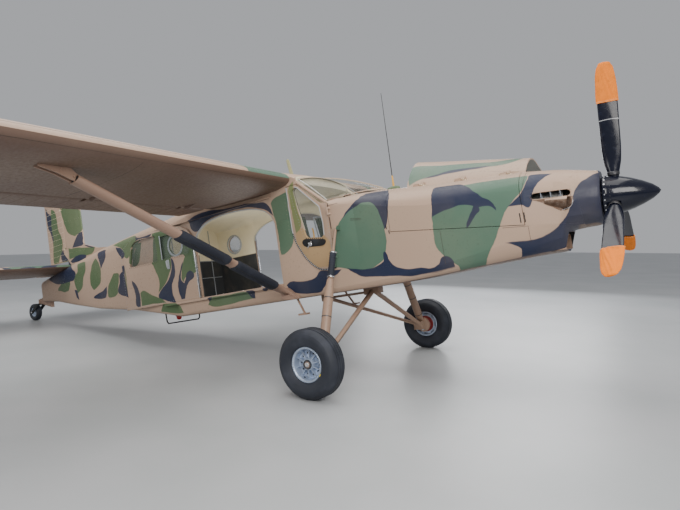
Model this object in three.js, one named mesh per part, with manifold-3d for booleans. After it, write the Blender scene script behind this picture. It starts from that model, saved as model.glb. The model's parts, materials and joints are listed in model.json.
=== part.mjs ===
// A high-wing utility transport plane with one turboprop engine and a tail wheel.
// Millimetres. The aircraft is drawn in its own axes, +X towards the nose, +Y to port and
// +Z up, with the origin on the ground line below the main axle. A last group then leans it
// back by the angle at which it parks on its tail wheel.

import * as THREE from 'three';
import { mergeVertices } from 'three/addons/utils/BufferGeometryUtils.js';
import Module from 'manifold-3d';

const wasm = await Module();
wasm.setup();

// Driving dimensions
const PARKED_ANGLE = 10.1;
const SEAT_GAP = 0.3;
const CARVE_GAP = 0.4;
const SIDES = 20;

const FLOOR_Z = 1210;
const CARGO_FLOOR = { rear: -2990, front: -800, half: 575, rise: 4 };
const CABIN_HALF = 630;
const REAR_BULKHEAD_X = -3000;
const FIREWALL_X = 650;
const ROOF_FRONT_X = -420;
const COWL_SKIN = 14;

const SEMI_SPAN = 7565;
const CHORD = 1900;
const WING_LE_X = -490;
const WING_LE_Z = 2466;
const INCIDENCE = 2.4;
const DIHEDRAL = 1;
const WING_THICKNESS = 0.15;
const WING_CAMBER = 0.03;
const WING_CUT = 1350;
const FLAP_SPLIT = 3500;

const TAILPLANE_HALF_SPAN = 2560;
const TAILPLANE_CHORD = 1570;
const TAILPLANE_LE_X = -6150;
const TAILPLANE_Z = 2230;
const TAILPLANE_CUT = 950;

const FIN_CHORD = 1150;
const FIN_LE_X = -5750;
const FIN_CUT = 480;
const FIN_TOP_Z = 4283;
const FIN_BASE_Z = 2335;

const PROP_HUB_X = 2894.66;
const PROP_HUB_Z = 1533;
const PROP_DOWN_TILT = 5.4;
const PROP_RADIUS = 1280;
const PROP_FIRST_BLADE = 4.4;
const BLADES = 3;

const WHEEL_RADIUS = 356.5;
const WHEEL_HALF_WIDTH = 128;
const TRACK_HALF = 1500;
const AXLE_END_Y = 1300;
const TAIL_WHEEL_X = -7800;
const TAIL_WHEEL_RADIUS = 165;
const TAIL_PIVOT_X = -7600;

const toRadians = THREE.MathUtils.degToRad;
const parked = toRadians(PARKED_ANGLE);

// A point given on the level ground, in the leaning aircraft's own axes.
function fromGround(x, y, z) {
  const forward = x * Math.cos(parked) + z * Math.sin(parked);
  const up = z * Math.cos(parked) - x * Math.sin(parked);
  return new THREE.Vector3(forward, y, up);
}

const AXLE = fromGround(0, 0, WHEEL_RADIUS);

// Solids: from a closed geometry to a cuttable one, and back
function solid(geometry) {
  const bare = geometry.clone();
  bare.deleteAttribute('normal');
  bare.deleteAttribute('uv');
  const merged = mergeVertices(bare, 1e-3);
  return new wasm.Manifold(new wasm.Mesh({
    numProp: 3,
    vertProperties: new Float32Array(merged.attributes.position.array),
    triVerts: new Uint32Array(merged.index.array),
  }));
}

function geometryOf(shape) {
  const mesh = shape.getMesh();
  const geometry = new THREE.BufferGeometry();
  geometry.setAttribute('position', new THREE.BufferAttribute(mesh.vertProperties, 3));
  geometry.setIndex(new THREE.BufferAttribute(mesh.triVerts, 1));
  geometry.computeVertexNormals();
  return geometry;
}

function joined(shapes) {
  return shapes.reduce((whole, shape) => whole.add(shape));
}

function without(shape, tools) {
  return tools.reduce((rest, tool) => rest.subtract(tool), shape);
}

// Cuts a neighbour out of a shape and leaves a small gap to it in the ways that are given.
const EVERY_WAY = [[1, 0, 0], [-1, 0, 0], [0, 1, 0], [0, -1, 0], [0, 0, 1], [0, 0, -1]];
const UP = [[0, 0, 1]];
const DOWN = [[0, 0, -1]];
const SIDEWAYS = [[0, 1, 0], [0, -1, 0]];

function carve(shape, tool, ways = EVERY_WAY) {
  return without(shape, [tool, ...ways.map((way) => (
    tool.translate(way.map((share) => share * CARVE_GAP))
  ))]);
}

function mirrored(shape) {
  return shape.mirror([0, 1, 0]);
}

function box(x0, x1, y0, y1, z0, z1) {
  const geometry = new THREE.BoxGeometry(x1 - x0, y1 - y0, z1 - z0);
  geometry.translate((x0 + x1) / 2, (y0 + y1) / 2, (z0 + z1) / 2);
  return solid(geometry);
}

// A round bar from one point to another, tapered where the second radius differs.
function bar(from, to, radius, endRadius = radius, sides = SIDES) {
  const axis = to.clone().sub(from);
  const geometry = new THREE.CylinderGeometry(endRadius, radius, axis.length(), sides);
  const turn = new THREE.Quaternion().setFromUnitVectors(
    new THREE.Vector3(0, 1, 0),
    axis.clone().normalize(),
  );
  geometry.applyQuaternion(turn);
  const middle = from.clone().add(to).multiplyScalar(0.5);
  geometry.translate(middle.x, middle.y, middle.z);
  return solid(geometry);
}

function crossBar(x, z, y0, y1, radius, sides = SIDES) {
  return bar(new THREE.Vector3(x, y0, z), new THREE.Vector3(x, y1, z), radius, radius, sides);
}

// An outline in the side view, given as [x, z] points, as a plate between two widths.
function sidePlate(outline, y0, y1) {
  const shape = new THREE.Shape(outline.map(([x, z]) => new THREE.Vector2(x, z)));
  const geometry = new THREE.ExtrudeGeometry(shape, {
    depth: y1 - y0,
    bevelEnabled: false,
  });
  geometry.rotateX(Math.PI / 2);
  geometry.translate(0, y1, 0);
  return solid(geometry);
}

function arc(x, z, radius, from, to, steps) {
  const points = [];
  for (let i = 0; i <= steps; i += 1) {
    const angle = toRadians(from + (to - from) * i / steps);
    points.push([x + radius * Math.cos(angle), z + radius * Math.sin(angle)]);
  }
  return points;
}

// Skins a closed ring of points from each section to the next, with flat ends.
// The two letters name the axes of the plane that the rings lie in, or nearly.
function loft(rings, plane) {
  const [u, v] = plane;
  const count = rings[0].length;
  const positions = rings.flat().flatMap((point) => [point.x, point.y, point.z]);
  const index = [];
  for (let r = 0; r + 1 < rings.length; r += 1) {
    for (let i = 0; i < count; i += 1) {
      const a = r * count + i;
      const b = r * count + (i + 1) % count;
      index.push(a, b, b + count, a, b + count, a + count);
    }
  }
  for (const [r, same] of [[0, false], [rings.length - 1, true]]) {
    const outline = rings[r].map((point) => new THREE.Vector2(point[u], point[v]));
    const along = THREE.ShapeUtils.area(outline) > 0;
    for (const face of THREE.ShapeUtils.triangulateShape(outline, [])) {
      const turned = THREE.ShapeUtils.area(face.map((corner) => outline[corner])) > 0;
      const [a, b, c] = face.map((corner) => r * count + corner);
      index.push(...((turned === along) === same ? [a, b, c] : [a, c, b]));
    }
  }
  const geometry = new THREE.BufferGeometry();
  geometry.setAttribute('position', new THREE.Float32BufferAttribute(positions, 3));
  geometry.setIndex(index);
  const shape = solid(geometry);
  if (shape.volume() > 0) {
    return shape;
  }
  geometry.setIndex(index.reverse());
  return solid(geometry);
}

// Fuselage sections. Each ring has a flat bottom with round corners, upright sides as high
// as the shoulder, and half an ellipse from there over the crown.
const TOP_STEPS = 12;
const CORNER_STEPS = 3;

function hullRing([x, half, bottom, shoulder, crown, corner], inset = 0) {
  const width = half - inset;
  const radius = Math.min(corner, width * 0.97);
  const low = bottom + inset;
  const ring = [];
  for (let i = 0; i <= TOP_STEPS; i += 1) {
    const angle = Math.PI * i / TOP_STEPS;
    const rise = (crown - inset - shoulder) * Math.sin(angle);
    ring.push(new THREE.Vector3(x, width * Math.cos(angle), shoulder + rise));
  }
  for (const [side, start] of [[-1, Math.PI], [1, Math.PI * 1.5]]) {
    for (let i = 0; i <= CORNER_STEPS; i += 1) {
      const angle = start + Math.PI * i / (2 * CORNER_STEPS);
      const y = side * (width - radius) + radius * Math.cos(angle);
      ring.push(new THREE.Vector3(x, y, low + radius + radius * Math.sin(angle)));
    }
  }
  return ring;
}

function hull(table, inset = 0) {
  return loft(table.map((row) => hullRing(row, inset)), ['y', 'z']);
}

// x, half width, bottom, shoulder, crown, corner radius
const CABIN_TABLE = [
  [REAR_BULKHEAD_X, 625, 1050, 2285, 2525, 60],
  [-2750, 630, 1000, 2320, 2545, 60],
  [-2400, 630, 1000, 2370, 2565, 60],
  [-1900, 630, 1000, 2510, 2600, 60],
  [-1400, 630, 1000, 2600, 2635, 60],
  [-900, 630, 1000, 2625, 2640, 60],
  [-700, 630, 1000, 2590, 2612, 60],
  [-550, 630, 1000, 2520, 2565, 60],
  [ROOF_FRONT_X, 628, 1000, 2450, 2515, 60],
  [-20, 622, 1000, 2440, 2500, 60],
];

const DECK_TABLE = [
  [-20, 622, 1000, 2040, 2175, 60],
  [300, 597, 1000, 1980, 2155, 70],
  [FIREWALL_X, 560, 1000, 1880, 2120, 80],
];

const CABIN_INSIDE_TABLE = [
  [REAR_BULKHEAD_X - 1, 585, FLOOR_Z, 2200, 2400, 5],
  [-2400, 590, FLOOR_Z, 2368, 2400, 5],
  [-20, 590, FLOOR_Z, 2368, 2400, 5],
];

const DECK_INSIDE_TABLE = [
  [-60, 584, 900, 2000, 2140, 5],
  [300, 557, 900, 1940, 2118, 5],
  [FIREWALL_X - 30, 523, 900, 1840, 2085, 5],
];

const REAR_TABLE = [
  [REAR_BULKHEAD_X - 0.3, 625, 1050, 2285, 2525, 60],
  [-3100, 622, 1070, 2275, 2518, 60],
  [-3900, 540, 1212, 2220, 2465, 60],
  [-5000, 395, 1340, 2150, 2380, 60],
  [-5900, 262, 1492, 2080, 2275, 60],
  [-6600, 160, 1628, 2030, 2190, 50],
  [-7200, 75, 1690, 1980, 2090, 40],
];

const COWL_TABLE = [
  [FIREWALL_X + 0.3, 560, 1000, 1880, 2120, 80],
  [1060, 520, 1012, 1800, 2062, 100],
  [1560, 462, 1040, 1730, 2015, 140],
  [2120, 382, 1062, 1660, 1958, 210],
  [2400, 331, 1064, 1609, 1909, 280],
  [2470, 318, 1264, 1596, 1893, 260],
  [2600, 290, 1270, 1570, 1858, 250],
];

const NOSE_TABLE = [
  [2600.4, 290, 1270, 1570, 1858, 250],
  [2700, 272, 1268, 1552, 1825, 255],
  [2762, 262, 1272, 1545, 1808, 250],
  [2783, 245, 1292, 1545, 1790, 235],
];

// Aerofoils: heights of the two skins at a fraction of the chord
function foil(chord, thickness, camber) {
  const peak = 0.4;
  const half = (f) => 5 * thickness * chord * (
    0.2969 * Math.sqrt(f) - 0.1260 * f - 0.3516 * f ** 2 + 0.2843 * f ** 3 - 0.1015 * f ** 4
  );
  const mean = (f) => {
    if (f < peak) {
      return camber * chord / peak ** 2 * (2 * peak * f - f ** 2);
    }
    return camber * chord / (1 - peak) ** 2 * (1 - 2 * peak + 2 * peak * f - f ** 2);
  };
  return { chord, mean, half };
}

// The fixed front part of a wing, back to a straight rear face, as [x, z] points.
const FRONT_FRACTIONS = [0, 0.006, 0.025, 0.06, 0.12, 0.22, 0.36, 0.52];

function frontOutline(section, cut) {
  const end = cut / section.chord;
  const fractions = [...FRONT_FRACTIONS.filter((f) => f < end - 0.05), end];
  const top = fractions.map((f) => [-f * section.chord, section.mean(f) + section.half(f)]);
  const low = fractions.slice(1).map((f) => [-f * section.chord, section.mean(f) - section.half(f)]);
  return [...top.reverse(), ...low];
}

// The moving rear part, with a round nose about its hinge, as [x, z] points.
const NOSE_GAP = 15;

function hingeOf(section, cut) {
  let x = cut + NOSE_GAP;
  for (let i = 0; i < 6; i += 1) {
    x = cut + NOSE_GAP + section.half(x / section.chord);
  }
  const f = x / section.chord;
  return { x, z: section.mean(f), radius: section.half(f) };
}

function rearOutline(section, cut) {
  const hinge = hingeOf(section, cut);
  const start = hinge.x / section.chord;
  const nose = arc(-hinge.x, hinge.z, hinge.radius, -90, 90, 8);
  const edge = 3;
  const top = [];
  const low = [];
  for (const share of [0.35, 0.7]) {
    const f = start + (1 - start) * share;
    top.push([-f * section.chord, section.mean(f) + section.half(f) + edge]);
    low.push([-f * section.chord, section.mean(f) - section.half(f) - edge]);
  }
  top.push([-section.chord, section.mean(1) + edge]);
  low.push([-section.chord, section.mean(1) - edge]);
  return [...nose, ...top, ...low.reverse()];
}

// Runs a section outline along Y. The rows give y, a scale of its thickness and of its chord.
function span(outline, rows, pivot) {
  const rings = rows.map(([y, thick, wide]) => outline.map(([x, z]) => new THREE.Vector3(
    pivot[0] + (x - pivot[0]) * wide,
    y,
    pivot[1] + (z - pivot[1]) * thick,
  )));
  return loft(rings, ['x', 'z']);
}

// Hinges: a slot in the moving piece, crossed by its pin, takes an arm of the fixed one
const ARM_HALF = 12;
const SLOT_HALF = 20;
const PIN_RADIUS = 11.5;
const PIN_HOLE = 12.2;
const PIN_SIDES = 12;
const ARM_REACH = 26;
const SLOT_BACK = 42;

function slotFor(hinge, y) {
  const deep = hinge.radius + 60;
  return box(
    -hinge.x - SLOT_BACK, -hinge.x + deep, y - SLOT_HALF, y + SLOT_HALF,
    hinge.z - deep, hinge.z + deep,
  );
}

function pinFor(hinge, y) {
  return crossBar(-hinge.x, hinge.z, y - SLOT_HALF - 5, y + SLOT_HALF + 5, PIN_RADIUS, PIN_SIDES);
}

function armFor(hinge, cut, y) {
  const root = box(
    -hinge.x, -cut + 40, y - ARM_HALF, y + ARM_HALF, hinge.z - ARM_REACH, hinge.z + ARM_REACH,
  );
  const [y0, y1] = [y - ARM_HALF, y + ARM_HALF];
  const eye = crossBar(-hinge.x, hinge.z, y0, y1, ARM_REACH, PIN_SIDES);
  const hole = crossBar(-hinge.x, hinge.z, y0 - 5, y1 + 5, PIN_HOLE, PIN_SIDES);
  return root.add(eye).subtract(hole);
}

function hingedPanel(section, cut, rows, stations) {
  const hinge = hingeOf(section, cut);
  const panel = span(rearOutline(section, cut), rows, [-hinge.x, hinge.z]);
  const slotted = without(panel, stations.map((y) => slotFor(hinge, y)));
  return joined([slotted, ...stations.map((y) => pinFor(hinge, y))]);
}

// Places what was drawn in a surface's own axes: chord along -X, span along Y.
function placed(shape, matrix) {
  return shape.transform(matrix.toArray());
}

function matrixOf(x, y, z, turnX, turnY) {
  const turn = new THREE.Matrix4().makeRotationX(toRadians(turnX));
  turn.multiply(new THREE.Matrix4().makeRotationY(toRadians(turnY)));
  return turn.setPosition(x, y, z);
}

// Finishes: colour, roughness, metalness
const finishes = {
  camouflage: new THREE.MeshStandardMaterial({ color: 0x4f5f45, roughness: 0.5 }),
  brown: new THREE.MeshStandardMaterial({ color: 0x8a7562, roughness: 0.55 }),
  black: new THREE.MeshStandardMaterial({ color: 0x17191c, roughness: 0.35 }),
  steel: new THREE.MeshStandardMaterial({ color: 0x9aa0a6, roughness: 0.4, metalness: 0.9 }),
  rubber: new THREE.MeshStandardMaterial({ color: 0x1d1e20, roughness: 0.85 }),
  silver: new THREE.MeshStandardMaterial({ color: 0xb9bec4, roughness: 0.35, metalness: 0.8 }),
  glass: new THREE.MeshStandardMaterial({ color: 0xb8c8cc, roughness: 0.08 }),
  orange: new THREE.MeshStandardMaterial({ color: 0xe07a2c, roughness: 0.8 }),
  cream: new THREE.MeshStandardMaterial({ color: 0xd8d0b8, roughness: 0.6 }),
  canvas: new THREE.MeshStandardMaterial({ color: 0x3c4a3a, roughness: 0.85 }),
};

const aircraft = new THREE.Group();

function addPiece(name, shape, finish, parent = aircraft) {
  const mesh = new THREE.Mesh(geometryOf(shape), finishes[finish]);
  mesh.name = name;
  parent.add(mesh);
  return mesh;
}

function addPair(name, portShape, finish) {
  addPiece(`${name}_port`, portShape, finish);
  addPiece(`${name}_starboard`, mirrored(portShape), finish);
}

// Openings in the fuselage sides, as outlines in the side view
const DOOR_REAR_X = -570;
const DOOR_FRONT_X = -25;
const DOOR_GAP = 6;
const DOOR_HINGE = { x: -22, y: 638, pin: 6, hole: 6.7, eye: 12, half: 22, heights: [1450, 1960] };
const PILOT_DOOR_OUTLINE = [
  [DOOR_REAR_X, 2372],
  [DOOR_REAR_X, 1830],
  [-545, 1700],
  [-506, 1610],
  [-435, 1480],
  [-346, 1380],
  [-270, 1320],
  [-180, 1290],
  [DOOR_FRONT_X, 1290],
  [DOOR_FRONT_X, 2068],
  [-125, 2082],
  [-425, 2372],
];

const PILOT_WINDOW_OUTLINE = [
  [-490, 2310],
  [-462, 2130],
  [-430, 1970],
  [-385, 1745],
  [-360, 1705],
  [-150, 1672],
  [-118, 1700],
  [-112, 1840],
  [-130, 2040],
  [-400, 2325],
  [-440, 2345],
];

// Pushes an outline outwards from its middle by about a gap.
function grown(outline, gap) {
  const shape = new THREE.Shape(outline.map(([x, z]) => new THREE.Vector2(x, z)));
  const ring = shape.getPoints();
  const turn = THREE.ShapeUtils.area(ring) > 0 ? 1 : -1;
  return ring.map((point, i) => {
    const before = ring[(i + ring.length - 1) % ring.length];
    const after = ring[(i + 1) % ring.length];
    const inward = point.clone().sub(before).normalize();
    const outward = after.clone().sub(point).normalize();
    const one = new THREE.Vector2(inward.y, -inward.x);
    const two = new THREE.Vector2(outward.y, -outward.x);
    const side = one.clone().add(two).normalize();
    const reach = turn * gap / Math.max(0.5, side.dot(one));
    return [point.x + side.x * reach, point.y + side.y * reach];
  });
}

const POST_TOP_Z = 1980;
const SIDE_TOP_Z = 2270;
const DOORWAY_FRONT_X = -820;
const POST_FRONT_X = -20 - SEAT_GAP;
const DOORWAY_REAR_X = -2240;

// What lies below the roof piece: the posts, the doorways' round-cornered heads, the rear sides
const BELOW_ROOF_OUTLINE = [
  [-3200, 900],
  [-3200, SIDE_TOP_Z],
  [DOORWAY_REAR_X, SIDE_TOP_Z],
  [DOORWAY_REAR_X, 2000],
  [-2222, 2070],
  [-2160, 2135],
  [-2060, 2195],
  [-1920, 2240],
  [-1700, 2266],
  [-1450, 2266],
  [-1230, 2246],
  [-1070, 2212],
  [-950, 2160],
  [-860, 2080],
  [DOORWAY_FRONT_X, POST_TOP_Z],
  [-200, POST_TOP_Z],
  [-200, 900],
];

// Sliding doors: the plate, parked open, and the rails along the fuselage that carry it
const SLIDE_IN = CABIN_HALF + 8;
const SLIDE_OUT = SLIDE_IN + 28;
const SLIDING_DOOR_LOW_Z = 1216;
const SLIDING_DOOR_TOP_Z = 2292;
const RAIL_REACH = SLIDE_OUT + 6;
const RAIL_REAR_X = REAR_BULKHEAD_X;
const RAIL_FRONT_X = -830;
const RAIL_HEIGHT = 14;

const REACH = 800;
const PORTHOLE = { x: -2656, z: 2017, radius: 135 };

// One side's rail outside the skin, and the web that holds it to the skin
function slideRail(side, z0, z1) {
  const [inner, outer] = [side * (CABIN_HALF + 4), side * RAIL_REACH].sort((a, b) => a - b);
  return box(RAIL_REAR_X, RAIL_FRONT_X, inner, outer, z0, z1);
}

function railWeb(side, z0, z1) {
  const [inner, outer] = [side * (CABIN_HALF - 25), side * RAIL_REACH].sort((a, b) => a - b);
  return box(RAIL_REAR_X, RAIL_FRONT_X, inner, outer, z0, z1);
}

// An upright round bar on the port pilot door's hinge line
function hingeBar(radius, z0, z1) {
  const { x, y } = DOOR_HINGE;
  return bar(new THREE.Vector3(x, y, z0), new THREE.Vector3(x, y, z1), radius, radius, PIN_SIDES);
}

function buildCabin() {
  const outer = hull(CABIN_TABLE);
  const inside = hull(CABIN_INSIDE_TABLE);
  const shell = outer.subtract(inside);
  const doorCut = sidePlate(grown(PILOT_DOOR_OUTLINE, DOOR_GAP), -REACH, REACH);
  const belowRoof = sidePlate(BELOW_ROOF_OUTLINE, -REACH, REACH);

  const longFloor = outer.add(hull(DECK_TABLE));
  const floorBox = box(REAR_BULKHEAD_X - 1, FIREWALL_X + 1, -REACH, REACH, 900, FLOOR_Z);
  const lowRailTop = SLIDING_DOOR_LOW_Z - SEAT_GAP;
  const lowRails = [1, -1].map((side) => slideRail(side, lowRailTop - RAIL_HEIGHT, lowRailTop).add(
    railWeb(side, FLOOR_Z - 2 * RAIL_HEIGHT, FLOOR_Z),
  ));
  const { rear, front, half: floorHalf, rise } = CARGO_FLOOR;
  const cargoFloor = box(rear, front, -floorHalf, floorHalf, FLOOR_Z - rise, FLOOR_Z + rise);
  const pan = joined([longFloor.intersect(floorBox), cargoFloor, ...lowRails]);
  addPiece('belly_pan', pan, 'brown');

  const roofBox = box(REAR_BULKHEAD_X - 1, ROOF_FRONT_X, -REACH, REACH, FLOOR_Z, 2800);
  const roof = without(shell.intersect(roofBox), [belowRoof, doorCut]);
  const topRailLow = SLIDING_DOOR_TOP_Z + SEAT_GAP;
  const topRails = [1, -1].map((side) => (
    slideRail(side, topRailLow, topRailLow + RAIL_HEIGHT).add(
      railWeb(side, topRailLow, topRailLow + RAIL_HEIGHT),
    )
  ));
  addPiece('cabin_roof', joined([roof, ...topRails]), 'camouflage');

  const postBox = box(
    DOORWAY_FRONT_X, POST_FRONT_X, 0, REACH, FLOOR_Z + SEAT_GAP, POST_TOP_Z - SEAT_GAP,
  );
  addPair('door_post', shell.intersect(postBox).subtract(doorCut), 'camouflage');

  const sideBox = box(
    REAR_BULKHEAD_X, DOORWAY_REAR_X, 0, REACH, FLOOR_Z + SEAT_GAP, SIDE_TOP_Z - SEAT_GAP,
  );
  const porthole = crossBar(PORTHOLE.x, PORTHOLE.z, 0, REACH, PORTHOLE.radius, 24);
  addPair('cabin_side', shell.intersect(sideBox).subtract(porthole), 'camouflage');

  const doorPlate = sidePlate(PILOT_DOOR_OUTLINE, 0, REACH);
  const windowCut = sidePlate(PILOT_WINDOW_OUTLINE, 0, REACH);
  const door = shell.intersect(doorPlate).subtract(windowCut);
  const { x, y, eye, half, hole, heights } = DOOR_HINGE;
  const leaves = heights.map((z) => hingeBar(eye, z - half, z + half).add(
    box(x - 2 * eye, x - 2, CABIN_HALF - 20, y + eye - 4, z - half, z + half),
  ));
  const bores = heights.map((z) => hingeBar(hole, z - 2 * half, z + 2 * half));
  addPair('pilot_door', without(joined([door, ...leaves]), bores), 'camouflage');
  return { outer, doorCut };
}

// The front of the cabin, from the pilot doors to the firewall, with the windscreen's sill
function buildCockpitShell(doorCut) {
  const inside = hull(DECK_INSIDE_TABLE);
  const underGlass = new THREE.Shape();
  underGlass.moveTo(-100, -545);
  underGlass.quadraticCurveTo(240, -545, 440, 0);
  underGlass.quadraticCurveTo(240, 545, -100, 545);
  const hole = new THREE.ExtrudeGeometry(underGlass, {
    depth: 600,
    bevelEnabled: false,
    curveSegments: 8,
  });
  hole.translate(0, 0, 1900);
  const ahead = box(-25, FIREWALL_X, -REACH, REACH, FLOOR_Z + SEAT_GAP, 2400);
  const shell = hull(DECK_TABLE).intersect(ahead).subtract(inside).subtract(solid(hole));
  const pillars = [1, -1].map((side) => bar(
    new THREE.Vector3(-10, side * 598, 2040),
    new THREE.Vector3(-440, side * 598, 2420),
    21,
    21,
    8,
  ));
  const cutPillars = pillars.map((pillar) => pillar.subtract(
    box(-600, ROOF_FRONT_X + SEAT_GAP, -REACH, REACH, 1000, 2800),
  ));
  const { x, y, eye, half, pin, heights } = DOOR_HINGE;
  const lugs = heights.flatMap((z) => [-1, 1].map((end) => {
    const [z0, z1] = [z + end * (half + 1), z + end * (2 * half)].sort((a, b) => a - b);
    const root = box(x + 2, x + 3 * eye, CABIN_HALF - 30, y + eye - 4, z0, z1);
    return hingeBar(eye, z0, z1).add(root);
  }));
  const pins = heights.map((z) => hingeBar(pin, z - half - 5, z + half + 5));
  const hinges = joined([...lugs, ...pins]);
  const cockpit = joined([
    joined([shell, ...cutPillars]).subtract(doorCut), hinges, mirrored(hinges),
  ]);
  addPiece('cockpit_shell', cockpit, 'camouflage');
  return cockpit;
}

function buildWindscreen() {
  const thickness = 12;
  const steps = 12;
  const heights = [0, 0.25, 0.5, 0.75, 1];
  const skin = (offset) => heights.map((h) => {
    const row = [];
    for (let i = 0; i <= steps; i += 1) {
      const t = -1 + 2 * i / steps;
      const baseX = 470 - 530 * Math.abs(t) ** 2.2;
      const baseZ = 2158 - 62 * t ** 2;
      const topZ = 2512 - 62 * t ** 2;
      const bulge = 4 * h * (1 - h) * (34 - 24 * t ** 2);
      const x = baseX + (ROOF_FRONT_X + SEAT_GAP - baseX) * h;
      const y = (574 - offset) * t;
      const z = baseZ + (topZ - baseZ) * h + bulge - offset;
      row.push(new THREE.Vector3(x, y, z));
    }
    return row;
  });
  const upper = skin(0);
  const lower = skin(thickness);
  const rings = upper.map((row, i) => [...row, ...lower[i].reverse()]);
  return loft(rings, ['y', 'z']);
}

function buildRearFuselage(tailplane) {
  const rear = carve(hull(REAR_TABLE), tailplane, [...DOWN, ...UP, [1, 0, 0]]);
  addPiece('rear_fuselage', rear, 'camouflage');
  return rear;
}

// Wing: front part, flap and aileron, each hinged on three arms
function buildWing() {
  const section = foil(CHORD, WING_THICKNESS, WING_CAMBER);
  const length = SEMI_SPAN - CABIN_HALF;
  const front = span(frontOutline(section, WING_CUT), [
    [0, 1, 1],
    [length - 70, 1, 1],
    [length - 20, 0.8, 0.99],
    [length, 0.45, 0.97],
  ], [0, section.mean(0.4)]);
  const hinge = hingeOf(section, WING_CUT);
  const flapStations = [500, 1800, 3100];
  const aileronStations = [3900, 5200, 6500];
  const arms = [...flapStations, ...aileronStations].map((y) => armFor(hinge, WING_CUT, y));
  const flap = hingedPanel(section, WING_CUT, [
    [90, 1, 1],
    [FLAP_SPLIT - 10, 1, 1],
  ], flapStations);
  const aileron = hingedPanel(section, WING_CUT, [
    [FLAP_SPLIT + 10, 1, 1],
    [length - 30, 1, 1],
  ], aileronStations);
  const rootShift = 4 + SEAT_GAP;
  const place = matrixOf(WING_LE_X, CABIN_HALF + rootShift, WING_LE_Z, DIHEDRAL, -INCIDENCE);
  const wing = placed(joined([front, ...arms]), place);
  addPair('wing', wing, 'camouflage');
  addPair('flap', placed(flap, place), 'camouflage');
  addPair('aileron', placed(aileron, place), 'camouflage');
  return wing;
}

const STRUT_LOW = new THREE.Vector3(-760, 665, 1095);
const STRUT_HIGH = new THREE.Vector3(-915, 3340, 2400);
const STRUT_FOOT_Y = 672;
const STRUT_FOOT_OUTLINE = [
  [-848, 1040],
  [-842, 1112],
  [-800, 1162],
  [-730, 1146],
  [-588, 1014],
  [-592, 1004],
  [-700, 1004],
  [-820, 1022],
];

// y and z of a cheek of the head fitting, which runs on from the tube to the wing's underside
const STRUT_CHEEK_OUTLINE = [
  [3040, 2236],
  [3180, 2288],
  [3330, 2350],
  [3480, 2392],
  [3480, 2440],
  [3250, 2440],
  [3130, 2334],
  [3040, 2288],
];
const STRUT_CHEEK = { x: -903, apart: 27, half: 7 };

function strutCheek(x) {
  const rings = [x - STRUT_CHEEK.half, x + STRUT_CHEEK.half].map((at) => (
    STRUT_CHEEK_OUTLINE.map(([y, z]) => new THREE.Vector3(at, y, z))
  ));
  return loft(rings, ['y', 'z']);
}

// Lift strut: an oval tube with two padded stretches, a foot fitting and a forked head
function buildWingStrut(wing) {
  // share of the length, half width fore and aft, half thickness
  const rows = [
    [0, 54, 30],
    [0.06, 78, 43],
    [0.08, 78, 43],
    [0.085, 86, 56],
    [0.3, 86, 56],
    [0.305, 78, 43],
    [0.335, 78, 43],
    [0.34, 86, 56],
    [0.56, 86, 56],
    [0.565, 78, 43],
    [0.935, 78, 43],
  ];
  const along = STRUT_HIGH.clone().sub(STRUT_LOW);
  const across = new THREE.Vector3(1, 0, 0);
  const up = along.clone().cross(across).normalize();
  const rings = rows.map(([share, wide, thick]) => {
    const centre = STRUT_LOW.clone().addScaledVector(along, share);
    const ring = [];
    for (let i = 0; i < 12; i += 1) {
      const angle = Math.PI * 2 * i / 12;
      ring.push(centre.clone()
        .addScaledVector(across, wide * Math.cos(angle))
        .addScaledVector(up, thick * Math.sin(angle)));
    }
    return ring;
  });
  const tube = loft(rings, ['x', 'z']);
  const foot = sidePlate(STRUT_FOOT_OUTLINE, CABIN_HALF + SEAT_GAP, STRUT_FOOT_Y);
  const cheeks = [-1, 1].map((way) => strutCheek(STRUT_CHEEK.x + way * STRUT_CHEEK.apart));
  const strut = joined([tube, foot, ...cheeks]);
  const inboard = box(-2000, 0, 0, CABIN_HALF + SEAT_GAP, 0, 3000);
  addPair('wing_strut', carve(strut.subtract(inboard), wing, DOWN), 'brown');
}

function buildTail() {
  const section = foil(TAILPLANE_CHORD, 0.095, 0);
  const hinge = hingeOf(section, TAILPLANE_CUT);
  const place = matrixOf(TAILPLANE_LE_X, 0, TAILPLANE_Z, 0, 0);
  const front = span(frontOutline(section, TAILPLANE_CUT), [
    [-TAILPLANE_HALF_SPAN, 0.5, 0.97],
    [-TAILPLANE_HALF_SPAN + 45, 1, 1],
    [TAILPLANE_HALF_SPAN - 45, 1, 1],
    [TAILPLANE_HALF_SPAN, 0.5, 0.97],
  ], [0, 0]);
  const stations = [-2100, -1150, 1150, 2100];
  const arms = stations.map((y) => armFor(hinge, TAILPLANE_CUT, y));
  const tailplane = placed(joined([front, ...arms]), place);
  addPiece('tailplane', tailplane, 'camouflage');

  const inner = 130;
  const outline = rearOutline(section, TAILPLANE_CUT);
  const halves = [-1, 1].map((side) => span(outline, [
    [side * inner, 1, 1],
    [side * (TAILPLANE_HALF_SPAN - 50), 1, 1],
    [side * TAILPLANE_HALF_SPAN, 0.6, 0.97],
  ], [-hinge.x, 0]));
  const tube = crossBar(-hinge.x, 0, -inner - 20, inner + 20, 26);
  const slots = stations.map((y) => slotFor(hinge, y));
  const pins = stations.map((y) => pinFor(hinge, y));
  const elevator = joined([without(joined(halves), slots), tube, ...pins]);
  addPiece('elevator', placed(elevator, place), 'camouflage');
  return tailplane;
}

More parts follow.
